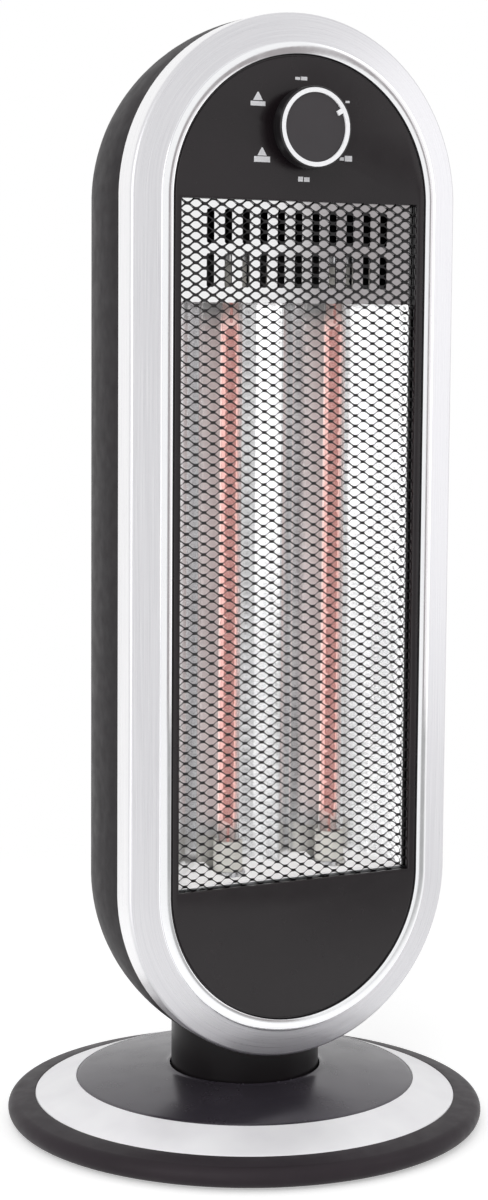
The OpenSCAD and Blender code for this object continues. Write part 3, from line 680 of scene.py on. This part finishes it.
def slot_tool(name, half_x, half_z, start, end, places, sides):
    """Slots with round ends, cut from one depth to another, one at each place (x, z)."""
    one = turned(name, [(half_z, start), (half_z, end)], axis="Y", sides=sides)
    open_mesh(one)
    for side in (-1, 1):
        pick(one, "verts", lambda p: p.x * side > 0)
        bpy.ops.transform.translate(value=(side * (half_x - half_z) * mm, 0, 0))
    close_mesh()
    return copies(one, at(places))


shell = casing_part("back_casing", [
    *back_curve(0)[::-1], (tower_r, 37.7), (98.7, 38.0), (96.8, 38.0), (96.5, 37.7),
    *back_curve(shell_wall)])
all_posts = rod("post", 5.0, flat_back - 1, 48, posts)
cut(shell, cut(all_posts, casing_form(shell_wall / 2), "INTERSECT"), "UNION")
cut(shell, slot_tool("grip_wall", 45.5, 15.5, flat_back + 1.25, -24.5, [(0, grip_z)], 48), "UNION")
cut(shell, slot_tool("grip_space", 43, 13, flat_back - 2, -27, [(0, grip_z)], 48))
cut(shell, rod("well", 3.8, flat_back - 2, -2, posts))
cut(shell, rod("screw_hole", 1.6, -3, 49, posts, 16))
louvres = [(side * louvre_x, z + louvre_half_z + louvre_pitch * row)
           for z in (low_z + 8, high_z - 80) for row in range(louvre_count) for side in (-1, 1)]
cut(shell, slot_tool("louvre", louvre_half_x, louvre_half_z, flat_back - 2, flat_back + 4, louvres, 16))
fin = put(block("fin", (-24, -0.5, -3.0), (24, 0.5, 3.0), 0.2), (0, 40.3, 0), -42)
cut(shell, copies(fin, at([(x, z - 0.2) for x, z in louvres])), "UNION")
cut(shell, turned("neck_opening", [(38.5, 47.6), (38.5, 100)], sides=96))
open_mesh(shell)
close_up()
# The shell has a darker copy of the rim's black plastic: painted shade that holds back the light from the
# left on its side.
casing_black_painted_shade = moulded("casing_black_painted_shade", (0.0105, 0.008, 0.0098), 0.46, IOR=1.4, Specular_IOR_Level=0.16)
fit(shell, "tower", "casing_plastic", casing_black_painted_shade, "rear_shell")

shell_screws = copies(put(screw("casing_screws", 55), turn=90), at(posts, -2.0))
fit(shell_screws, "tower", "screw_steel", zinc_plate, "shell_screws")


# --- Neck and swing drive -------------------------
# The neck is a short moulded tube, fixed up into the casing. Its inner lip turns on the hub, and its
# floor carries the small synchronous motor whose crank works the swing.
motor_screw_x, motor_screw_y, floor_low, floor_high = 21.5, 20, 44.0, 47.0
motor_fixings = [(-motor_screw_x, motor_screw_y), (motor_screw_x, motor_screw_y)]
neck_black = moulded("neck_black", (0.0075, 0.0062, 0.007), 0.34, grain=0.3, grain_height=0.01, IOR=1.4,
                     Specular_IOR_Level=0.25)
neck = turned("neck_tube", [
    (41.6, 27.3), (41.9, 27.5), (42.0, 27.9), (42.0, 117.6), (39.0, 117.6), (39.0, 34.0), (33.6, 34.0),
    (33.3, 33.7), (33.3, 31.2), (33.5, 31.0), (39.0, 31.0), (39.0, 27.6), (39.2, 27.3), (41.6, 27.3)])
neck_floor = turned("neck_floor", [(39.3, floor_low), (39.3, floor_high)], sides=96)
for radius, places in ((5.0, [(0, motor_screw_y)]), (8.0, [(0, -18)]), (1.6, motor_fixings)):
    hole = turned("floor_hole", [(radius, floor_low - 1), (radius, floor_high + 1)], sides=32)
    cut(neck_floor, copies(hole, [((x, y, 0), 0) for x, y in places]))
cut(neck, neck_floor, "UNION")
cut(neck, casing_form(-0.1))
fit(neck, "tower", "neck_plastic", neck_black, "neck")

motor_can = metal("motor_can", (0.62, 0.62, 0.64), 0.3, lumps=9, marks=5, rough=(0.22, 0.42),
                  tones=((0.60, 0.60, 0.63), (0.70, 0.69, 0.66)), height=0.01, stretch=(1, 1, 12))
dress(motor_can, "oscillation_motor")
motor_screws = copies(put(screw("motor_fixings", 4), turn=180),
                      [((x, y, floor_high + 1), 0) for x, y in motor_fixings])
fit(motor_screws, "tower", "screw_steel", zinc_plate, "motor_screws")


# --- Inner frame ----------------------------------
# A channel of sheet steel, stoved black, stands behind the reflector. Its near black is also painted shade:
# the dark inside of the casing, seen through the slots. The bracket across each end is galvanised, and
# its zinc shows a spangle of flat crystals. All three keep their CAD meshes.
galvanised = finish("galvanised", (0.5, 0.52, 0.53), 0.34, Metallic=1.0)
crystals = node(galvanised, "TexVoronoi", place_of(galvanised), None, 160.0).outputs["Color"]
facet = node(galvanised, "SeparateXYZ", crystals).outputs[0]
tint(galvanised, facet, (0.42, 0.44, 0.45), (0.60, 0.61, 0.62))
feed(galvanised, "Roughness", ramp(galvanised, facet, 0, 1, 0.26, 0.46))
relief(galvanised, cloud(galvanised, 0.8), 0.006)
dress(galvanised, "upper_bracket", "lower_bracket")
# Near black: stove enamel, and painted shade for the inside of the casing.
stove_black_and_shade = moulded("stove_black_and_shade", (0.008, 0.0078, 0.008), 0.55, grain=0.7, grain_height=0.02)
dress(stove_black_and_shade, "inner_chassis")


# --- Reflector ------------------------------------
# One sheet of polished aluminium, folded into two flat-bottomed troughs that meet in a ridge between
# the tubes. An enamelled white plate at its foot rises to the back and is notched round both tubes.
# The plate has a faint painted glow: painted light that stands for the light reaching it.
reflector_low, reflector_high, sheet_t, fold_r = 148.5, 466.0, 0.75, 0.9
tube_x, tube_f, notch_r = 32.0, 38.0, 9.5
half_folds = [(0.0, 38.0), (11.92, 28.0), (46.0, 28.0), (58.0, 37.38), (70.0, 52.6), (73.8, 52.6)]
all_folds = half_folds[::-1] + [(-x, f) for x, f in half_folds[1:]]


def line_of(name, outline, height):
    """A line drawn in plan: one point extruded along an outline of (x, depth), at a height."""
    hold()
    bpy.ops.mesh.primitive_plane_add(size=mm, location=Vector((outline[0][0], -outline[0][1], height)) * mm)
    piece = new_piece(name)
    open_mesh(piece)
    bpy.ops.mesh.select_mode(type="VERT")
    bpy.ops.mesh.merge(type="CENTER")
    for (x0, f0), (x1, f1) in zip(outline, outline[1:]):
        extrude(((x1 - x0) * mm, (f0 - f1) * mm, 0))
    bpy.ops.mesh.select_all(action="SELECT")
    return piece


reflector = line_of("folded_reflector", all_folds, reflector_low)
extrude((0, 0, (reflector_high - reflector_low) * mm))
pick(reflector, "edges", lambda p: abs(p.x) < 71 and abs(p.z - (reflector_low + reflector_high) / 2) < 1)
bpy.ops.mesh.bevel(offset=fold_r * mm, segments=3, affect="EDGES")
close_up()
front_out = sum(face.normal.y for face in reflector.data.polygons) < 0
modified(reflector, "SOLIDIFY", thickness=sheet_t * mm, offset=-1.0 if front_out else 1.0,
         use_even_offset=True)

bright_sheet = finish("bright_sheet", (0.88, 0.88, 0.885), 0.16, Metallic=1.0)
mill = cloud(bright_sheet, 9, stretch=(16, 16, 0.35), detail=4)
mottle(bright_sheet, 24, (0.84, 0.84, 0.85), (0.93, 0.93, 0.935), stretch=(1, 1, 0.4))
shine(bright_sheet, mill, 0.12, 0.26)
waves = relief(bright_sheet, cloud(bright_sheet, 30, stretch=(1, 1, 0.5), detail=1), 0.12)
relief(bright_sheet, mill, 0.006, waves)
fit(reflector, "tower", "reflector_metal", bright_sheet, "reflector")

plate_folds = [(69.3, 51.8), *[(x, f + 0.15) for x, f in all_folds if f < 52], (-69.3, 51.8)]
foot_plate = line_of("foot_plate", plate_folds, reflector_low - 1)
bpy.ops.mesh.edge_face_add()
extrude((0, 0, 20 * mm))
close_up()
slab = block("slab", (-74, -40, -0.48), (74, 40, 0.48))
cut(foot_plate, put(slab, (0, -39.9, 152.5), math.degrees(math.atan2(7, 23.8))), "INTERSECT")
tube_places = at([(-tube_x, 0), (tube_x, 0)], tube_f)
for notch in (turned("notch", [(notch_r, 140), (notch_r, 170)], sides=64),
              block("notch", (-notch_r, 0, 140), (notch_r, 20, 170))):
    cut(foot_plate, copies(notch, tube_places))
# The enamel's emission is painted light: a faint glow that brightens the plate.
foot_enamel_painted_glow = moulded("foot_enamel_painted_glow", (0.86, 0.86, 0.87), 0.3, grain=0.9, grain_height=0.01, drift=0.03,
                      Emission_Color=(1.0, 0.97, 0.95, 1), Emission_Strength=0.25)
fit(foot_plate, "tower", "reflector_metal", foot_enamel_painted_glow, "reflector_floor")


# --- Vent plate -----------------------------------
# A bright punched plate closes the space above the reflector. Warm air leaves through its two rows of
# slots, whose corners are rounded. The plate is bowed a little, which its reflections show.
vent_low, vent_high, vent_half = 462.0, 520.0, 73.75
slot_rows = ((470.0, 487.6), (493.0, 510.8))
slot_half, slot_pitch, slot_count, slot_corner = 2.2, 10.6, 11, 1.0
bow_middle, bow_curve = 45, -0.00019

vent = block("slotted_plate", (-vent_half, -53.7, vent_low), (vent_half, -52.65, vent_high))
for low, high in slot_rows:
    punch = block("punch", (-slot_half, -56, low), (slot_half, -51, high))
    open_mesh(punch)
    pick(punch, "edges",
         lambda p: abs(abs(p.x) - slot_half) < 0.01 and min(abs(p.z - low), abs(p.z - high)) < 0.01)
    bpy.ops.mesh.bevel(offset=slot_corner * mm, segments=4, affect="EDGES")
    close_mesh()
    cut(vent, copies(punch, at([(slot_pitch * (col - slot_count // 2), 0) for col in range(slot_count)])))
mirror_sheet = finish("mirror_sheet", (0.88, 0.88, 0.885), 0.07, Metallic=1.0)
shine(mirror_sheet, cloud(mirror_sheet, 9, stretch=(1, 1, 6), detail=4), 0.05, 0.11)
from_bow = maths(mirror_sheet, "ADD", axes(mirror_sheet)[0], -bow_middle * mm)
bow = maths(mirror_sheet, "MULTIPLY", from_bow, from_bow)
bow = maths(mirror_sheet, "MULTIPLY", bow, bow_curve / mm / mm)
relief(mirror_sheet, cloud(mirror_sheet, 30, detail=1), 0.05, relief(mirror_sheet, bow, 1.0))
fit(vent, "tower", "vent_metal", mirror_sheet, "vent_plate")


# --- Heating tubes --------------------------------
# Two tubes of quartz, held in ceramic caps, with a white coat baked on the back half of each. Each
# holds a spiral of carbon ribbon that glows red, and two wires that lead to it. Along the glowing
# stretch the glass is tinted pinker and the coat glows, most near the bore: painted light from the ribbon.
tube_r, tube_bore, tube_low, tube_high = 6.0, 4.8, 160.2, 476.3
glow_low, glow_high, painted_glow_inner, painted_glow_outer = 177.2, 454.3, 0.5, 0.13
bracket_low, bracket_high = 148.5, 488.5
quartz = finish("quartz", (0.95, 0.88, 0.87), 0.12, IOR=1.35, Emission_Color=(1.0, 0.70, 0.65, 1))
x, y, z = axes(quartz)
coated = ramp(quartz, y, -(tube_f - 0.4) * mm, -(tube_f - 1.0) * mm, 0, 1)
off_axis = maths(quartz, "SUBTRACT", maths(quartz, "ABSOLUTE", x), tube_x * mm)
radius = length_of(quartz, off_axis, maths(quartz, "ADD", y, tube_f * mm))
# Painted light from the ribbon: the coat's glow is strongest near the bore, and the glass is tinted pinker
# along the glowing stretch.
inside = ramp(quartz, radius, 5.6 * mm, 5.2 * mm, painted_glow_outer, painted_glow_inner)
painted_glow_stretch = maths(quartz, "MULTIPLY", ramp(quartz, z, (glow_low - 4) * mm, (glow_low + 6) * mm, 0, 1),
             ramp(quartz, z, (glow_high + 4) * mm, (glow_high - 6) * mm, 0, 1))
tint(quartz, painted_glow_stretch, (0.90, 0.89, 0.88), (0.98, 0.91, 0.90))
feed(quartz, "Transmission Weight", ramp(quartz, coated, 0, 1, 0.85, 0.0))
# The coat's emission is a painted glow, not a lamp.
painted_coat_glow = maths(quartz, "MULTIPLY", maths(quartz, "MULTIPLY", painted_glow_stretch, coated), inside)
feed(quartz, "Emission Strength", painted_coat_glow)
streaks = cloud(quartz, 7, stretch=(1, 1, 0.1), detail=3)
shine(quartz, streaks, 0.06, 0.2)
relief(quartz, streaks, 0.02)
tube = turned("clear_tubes", [
    (tube_r, tube_low + 0.4), (tube_r, tube_high - 0.4), (5.7, tube_high), (5.1, tube_high),
    (tube_bore, tube_high - 0.4), (tube_bore, tube_low + 0.4), (5.1, tube_low), (5.7, tube_low),
    (tube_r, tube_low + 0.4)], sides=48)
fit(copies(tube, tube_places), "tower", "tube_glass", quartz, "quartz_tubes")

glowing_carbon = finish("glowing_carbon", (0.20, 0.08, 0.07), 0.7,
                        Emission_Color=(1.0, 0.33, 0.27, 1), Emission_Strength=0.38)
weave = node(glowing_carbon, "TexWave", place_of(glowing_carbon), 900.0, 0.0, 0.0,
             bands_direction="DIAGONAL").outputs[1]
tint(glowing_carbon, weave, (0.08, 0.035, 0.03), (0.26, 0.11, 0.09))
relief(glowing_carbon, weave, 0.05)
ribbon_turns, ribbon_r, ribbon_t, ribbon_part = 32, 2.7, 0.5, 0.72
ribbon_pitch = (glow_high - glow_low) / ribbon_turns
ribbon_middle = Vector((ribbon_r, 0, glow_low + ribbon_pitch * ribbon_part / 2)) * mm
hold()
bpy.ops.mesh.primitive_plane_add(size=mm, location=ribbon_middle, rotation=(math.pi / 2, 0, 0))
ribbon = new_piece("carbon_ribbons")
open_mesh(ribbon)
bpy.ops.transform.resize(value=(ribbon_t, 1, ribbon_pitch * ribbon_part), center_override=ribbon_middle)
bpy.ops.mesh.delete(type="ONLY_FACE")
wound(ribbon, ribbon_pitch, ribbon_turns - 1, 20)
for low, high in ((tube_low, glow_low + 1), (glow_high - 3, tube_high)):
    join(ribbon, turned("lead", [(0.5, low), (0.8, low + 0.4), (0.8, high - 0.4), (0.5, high)], sides=16))
fit(copies(ribbon, tube_places), "tower", "filament", glowing_carbon, "carbon_filaments")

ceramic = moulded("ceramic", (0.80, 0.78, 0.73), 0.7, grain=0.5, grain_height=0.04, drift=0.05)
cap_steps = [(2.9, -3.5), (3.0, -3.3), (3.0, 0), (7.4, 0), (7.8, 0.3), (8.0, 0.8), (8.0, 13.2), (7.7, 13.6),
             (7.7, 14.6), (8.0, 15.0), (8.0, 20.8), (7.8, 21.3), (7.4, 21.5), (6.4, 21.5), (6.15, 21.2),
             (6.1, 20.8), (6.1, 11.6)]
clip_steps = [(8.15, 0.3), (8.9, 0.3), (9.1, 0.5), (9.1, 4.6), (8.9, 4.9), (8.15, 4.9), (8.15, 0.3)]
for end, z0, way in (("lower", bracket_low, 1), ("upper", bracket_high, -1)):
    for name, steps, slot, material in (("cap", cap_steps, "ceramic", ceramic),
                                        ("clip", clip_steps, "clip_steel", plated_steel)):
        part = turned(f"{end}_{name}", [(r, z0 + way * s) for r, s in steps], sides=48)
        fit(copies(part, tube_places), "tower", slot, material, f"tube_{name}s")


# --- Bezel ----------------------------------------
# The silver bezel is one moulding that closes the casing from the front. Its wide band slopes towards
# the edge and has a brushed metal finish; the narrow lip round the opening is polished.
lip_f, lip_r = 57.31, 77.2
brushed_silver = finish("brushed_silver", (0.72, 0.72, 0.735), 0.33, Metallic=0.9)
x, y, z = axes(brushed_silver)
inner_z = node(brushed_silver, "Clamp", z, low_z * mm, high_z * mm).outputs[0]
outline_r = length_of(brushed_silver, x, maths(brushed_silver, "SUBTRACT", z, inner_z))
brush = fine_lines(brushed_silver, outline_r, y, maths(brushed_silver, "ADD", z, x),
                   fine=0.16, long=60, detail=4)
# Painted light: the outer side wall, which faces the lamps on the left, is tinted far lighter than the
# band. The brush lines add their own real tone.
painted_side_light = ramp(brushed_silver, y, -52.4 * mm, -50.8 * mm, 0, 0.7)
brush_and_painted_light = maths(brushed_silver, "ADD", ramp(brushed_silver, brush, 0.38, 0.62, 0, 0.32), painted_side_light)
tint(brushed_silver, brush_and_painted_light, (0.63, 0.625, 0.65), (0.96, 0.955, 0.965))
shine(brushed_silver, brush, 0.25, 0.44)
relief(brushed_silver, brush, 0.012)
polished_silver = finish("polished_silver", (0.90, 0.905, 0.92), 0.09, Metallic=1.0)
shine(polished_silver, cloud(polished_silver, 12, detail=4), 0.06, 0.16)
relief(polished_silver, cloud(polished_silver, 18, detail=1), 0.02)

slope = math.degrees(math.atan2(57.4 - 53.4, tower_r - 84.3))
bezel = casing_part("silver_bezel", [
    (tower_r, 38.05), *bend((96.8, 51.2), 2.2, 0, 90 - slope), (84.3, 57.1), (83.5, 57.3), (83.3, 57.45),
    (83.3, 57.9), (83.15, 58.25), (82.8, 58.4), (77.5, 58.4), (77.15, 58.25), (77.0, 57.9), (77.0, 50.6),
    (79.5, 50.6), (79.5, 54.9), (83.3, 54.9), (96.5, 50.9), (96.5, 38.05), (tower_r, 38.05)])
bezel.data.materials.append(brushed_silver)
bezel.data.materials.append(polished_silver)
open_mesh(bezel)
pick(bezel, "faces", lambda p: p.y < -lip_f or (
    p.y < -51 and math.hypot(p.x, p.z - min(max(p.z, low_z), high_z)) < lip_r))
bezel.active_material_index = 1
bpy.ops.object.material_slot_assign()
close_mesh()
fit(bezel, "tower", "bezel_silver", brushed_silver, "front_bezel")


# --- Front panel ----------------------------------
# The charcoal panel is moulded with a satin gloss. It carries the knob and has the large window, whose
# edge is slightly rounded. Six small plain signs are printed round the knob.
window_half, panel_face, knob_z = 72, 57.98, 554.0
print_t = 0.12
charcoal = moulded("charcoal", (0.0105, 0.0078, 0.0092), 0.25, grain=0.5, grain_height=0.004, IOR=1.42)
panel = casing_part("charcoal_panel", [
    (75.2, 58.0), (75.45, 57.95), (75.65, 57.75), (75.7, 57.5), (75.7, 57.0), (76.4, 57.0), (76.65, 56.9),
    (76.7, 56.6), (76.7, 50.5), (95.5, 50.5), (95.5, 48.0), (74.2, 48.0), (74.2, 55.5)])
cut(panel, block("window", (-window_half, -60, low_z), (window_half, -53, high_z)))
cut(panel, rod("shaft_hole", 5.1, 54, 59, [(0, knob_z)], 48))
open_mesh(panel)
pick(panel, "edges", lambda p: p.y < -57.9 and (
    (abs(abs(p.x) - window_half) < 0.05 and low_z - 0.1 < p.z < high_z + 0.1)
    or (min(abs(p.z - low_z), abs(p.z - high_z)) < 0.05 and abs(p.x) < window_half + 0.1)))
bpy.ops.mesh.bevel(offset=0.5 * mm, segments=3, affect="EDGES")
close_up()
fit(panel, "tower", "panel_plastic", charcoal, "front_panel")

sign_print = finish("sign_print", (0.66, 0.66, 0.68), 0.5)
ink = cloud(sign_print, 0.5, detail=3)
tint(sign_print, spread(sign_print, ink, 0, 1), (0.58, 0.58, 0.60), (0.74, 0.74, 0.76))
relief(sign_print, ink, 0.01)


def bar(x, z, half_x, half_z):
    """A printed bar on the panel."""
    return block("bar", (x - half_x, -panel_face - print_t, z - half_z),
                 (x + half_x, -panel_face, z + half_z), 0.05)


def flame(x, z, half_x, height):
    """A printed triangle on the panel, point up."""
    made = block("flame", (x - half_x, -panel_face - print_t, z), (x + half_x, -panel_face, z + height))
    open_mesh(made)
    pick(made, "verts", lambda p: p.z > z + height / 2)
    bpy.ops.transform.resize(value=(0.12, 1, 1), center_override=(x * mm, 0, z * mm))
    close_mesh()
    return made


def sign(place, *shapes):
    """Joins printed shapes into one sign."""
    whole = join(*shapes)
    whole.name = whole.data.name = f"sign_{place}"
    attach(whole, "tower")
    whole.data.materials.append(sign_print)


sign("top", bar(-3.9, 580.0, 1.5, 0.75), bar(0.0, 580.1, 1.9, 0.95))
sign("upper_left", flame(-27.7, 567.6, 2.9, 4.3), bar(-27.7, 565.9, 4.4, 1.2))
sign("lower_left", flame(-25.0, 539.0, 2.8, 4.2), bar(-25.0, 537.1, 4.8, 1.5))
sign("bottom", bar(-1.6, 527.5, 1.5, 1.3), bar(2.2, 527.4, 1.7, 1.2))
sign("lower_right", bar(23.6, 539.0, 1.3, 0.9), bar(27.7, 539.3, 2.3, 1.5))
sign("upper_right", bar(26.8, 569.2, 1.3, 0.6))


# --- Guard ----------------------------------------
# The guard is a sheet of steel, slit in rows and stretched until the slits open into diamonds. The
# strands lean a little, as the stretching leaves them, and meet in bonds wider than they are.
cells_across, cells_up = 14, 66
cell_x, cell_z = 2 * window_half / cells_across, straight / cells_up
strand, strand_t, bond_x, bond_z, lean = 0.5, 0.3, 1.2, 0.85, -0.42
guard_f, guard_half, guard_over, border_half = 54.75, 72.9, 1.8, 73.8

guard = block("diamond_guard", (-bond_x, -strand_t / 2, -bond_z), (bond_x, strand_t / 2, bond_z))
open_mesh(guard)
bpy.ops.mesh.bisect(plane_co=(0, 0, 0), plane_no=(0, 0, 1))
for side in (-1, 1):
    for way in (-1, 1):
        pick(guard, "faces", lambda p: p.x * side > bond_x * 0.99 and p.z * way > 0)
        extrude((side * (cell_x / 4 - bond_x) * mm, 0, way * (cell_z / 4 - bond_z / 2) * mm))
        bpy.ops.transform.resize(value=(1, 1, strand / bond_z),
                                 center_override=(side * cell_x / 4 * mm, 0, way * cell_z / 4 * mm))
        bpy.ops.mesh.delete(type="FACE")
for way in (-1, 1):
    for back, test in (
            (lean, lambda p: abs(p.x) < bond_x * 1.01 and p.z * way > bond_z * 0.9),
            (lean / 2, lambda p: abs(p.x) > bond_x * 1.1 and (abs(p.z) - cell_z / 4) * p.z * way > 0)):
        pick(guard, "verts", test)
        bpy.ops.transform.translate(value=(0, way * back * mm, 0))
close_mesh()
guard = copies(guard, at([(-window_half, low_z - cell_z),
                          (-window_half + cell_x / 2, low_z - cell_z / 2)], guard_f))
for count, step in ((cells_across + 1, (cell_x * mm, 0, 0)), (cells_up + 2, (0, 0, cell_z * mm))):
    modified(guard, "ARRAY", count=count, use_relative_offset=False, use_constant_offset=True,
             constant_offset_displace=step)
open_mesh(guard)
bpy.ops.mesh.remove_doubles(threshold=0.004 * mm)
for place, way in (((-guard_half, 0, 0), (-1, 0, 0)), ((guard_half, 0, 0), (1, 0, 0)),
                   ((0, 0, low_z - guard_over), (0, 0, -1)), ((0, 0, high_z + guard_over), (0, 0, 1))):
    bpy.ops.mesh.select_all(action="SELECT")
    bpy.ops.mesh.bisect(plane_co=Vector(place) * mm, plane_no=way, clear_outer=True, use_fill=True)
close_mesh()
border = block("border", (-border_half, -55.45, low_z - 4.5), (border_half, -54.1, high_z + 4.5), 0.15)
cut(border, block("opening", (1.2 - border_half, -57, low_z - 1.2), (border_half - 1.2, -52, high_z + 1.2)))
join(guard, border)

guard_paint = finish("guard_paint", (0.014, 0.013, 0.014), 0.5, IOR=1.35)
flow_marks = cloud(guard_paint, 2.2, detail=3)
mottle(guard_paint, 20, (0.012, 0.011, 0.012), (0.019, 0.018, 0.019))
shine(guard_paint, flow_marks, 0.3, 0.46)
relief(guard_paint, flow_marks, 0.02)
fit(guard, "tower", "guard_metal", guard_paint, "mesh_guard")


# --- Knob -----------------------------------------
# The knob is moulded in dark plastic with a narrower foot. A white ring with a short pointer lies in
# the dish of its face. It sits on the switch's steel shaft.
off_angle = 30
dish_edge, painted_shade_edge = 17.8, 18.3
knob_dark = moulded("knob_dark", (0.026, 0.0225, 0.0255), 0.42, grain=0.4, grain_height=0.02, IOR=1.5)
x, y, z = axes(knob_dark)
from_axis = length_of(knob_dark, x, maths(knob_dark, "ADD", z, -knob_z * mm))
# Painted shade: beyond the dish, the knob's side is darkened to near black.
painted_side_shade = ramp(knob_dark, from_axis, dish_edge * mm, painted_shade_edge * mm, 0, 0.88)
drift = maths(knob_dark, "ADD", spread(knob_dark, cloud(knob_dark, 16), 0, 0.12), painted_side_shade)
tint(knob_dark, drift, (0.029, 0.025, 0.0285), (0.005, 0.004, 0.005))
knob = turned("knob_body", [
    (20.68, 70.4), (20.7, 71.45), (20.75, 71.55), *bend((20.8, 70.8), 0.8, 90, 0, 5), (21.6, 64.1),
    (21.45, 63.7), (21.1, 63.5), (18.1, 63.5), (18.1, 58.9), (17.9, 58.6), (17.6, 58.5), (16.3, 58.5),
    (16.1, 58.7), (16.1, 68.6)], axis="Y", middle=(0, knob_z))
fit(knob, "knob", "knob_plastic", knob_dark, "knob")

inlay_white = moulded("inlay_white", (0.86, 0.86, 0.88), 0.3, grain=0.5, grain_height=0.004, drift=0.03)
inlay = turned("ring_inlay", [
    (18.2, 70.45), (18.2, 71.5), (18.3, 71.6), (20.5, 71.6), (20.6, 71.5), (20.6, 70.45), (18.2, 70.45)],
    axis="Y", middle=(0, knob_z))
pointer = block("pointer", (15.2, -71.6, -1.3), (18.6, -70.45, 1.3), 0.12)
cut(inlay, put(pointer, (0, 0, knob_z), -off_angle, "Y"), "UNION")
fit(inlay, "knob", "knob_white", inlay_white, "knob_ring")


# --- Switch and wiring ----------------------------
# Behind the panel sit the rotary switch, the terminal block, the thermal cut-out and the sleeved
# wires between them. They keep their CAD meshes.
switch_grey = moulded("switch_grey", (0.60, 0.63, 0.66), 0.45, grain=0.9, drift=0.06)
dress(switch_grey, "rotary_switch", "terminal_block")
phenolic = moulded("phenolic", (0.17, 0.07, 0.03), 0.5, grain=0.7, grain_height=0.03, drift=0.2)
dress(phenolic, "thermal_cutout")
braid = finish("braid", (0.012, 0.012, 0.012), 0.75, Sheen_Weight=0.3)
strands = [node(braid, "TexWave", place_of(braid, (way, 1, 0.6)), 420.0, 0.0, 0.0,
                bands_direction="DIAGONAL").outputs[1] for way in (1, -1)]
crossing = maths(braid, "MAXIMUM", *strands)
tint(braid, crossing, (0.008, 0.008, 0.008), (0.03, 0.03, 0.032))
relief(braid, crossing, 0.15)
dress(braid, "wiring_loom")
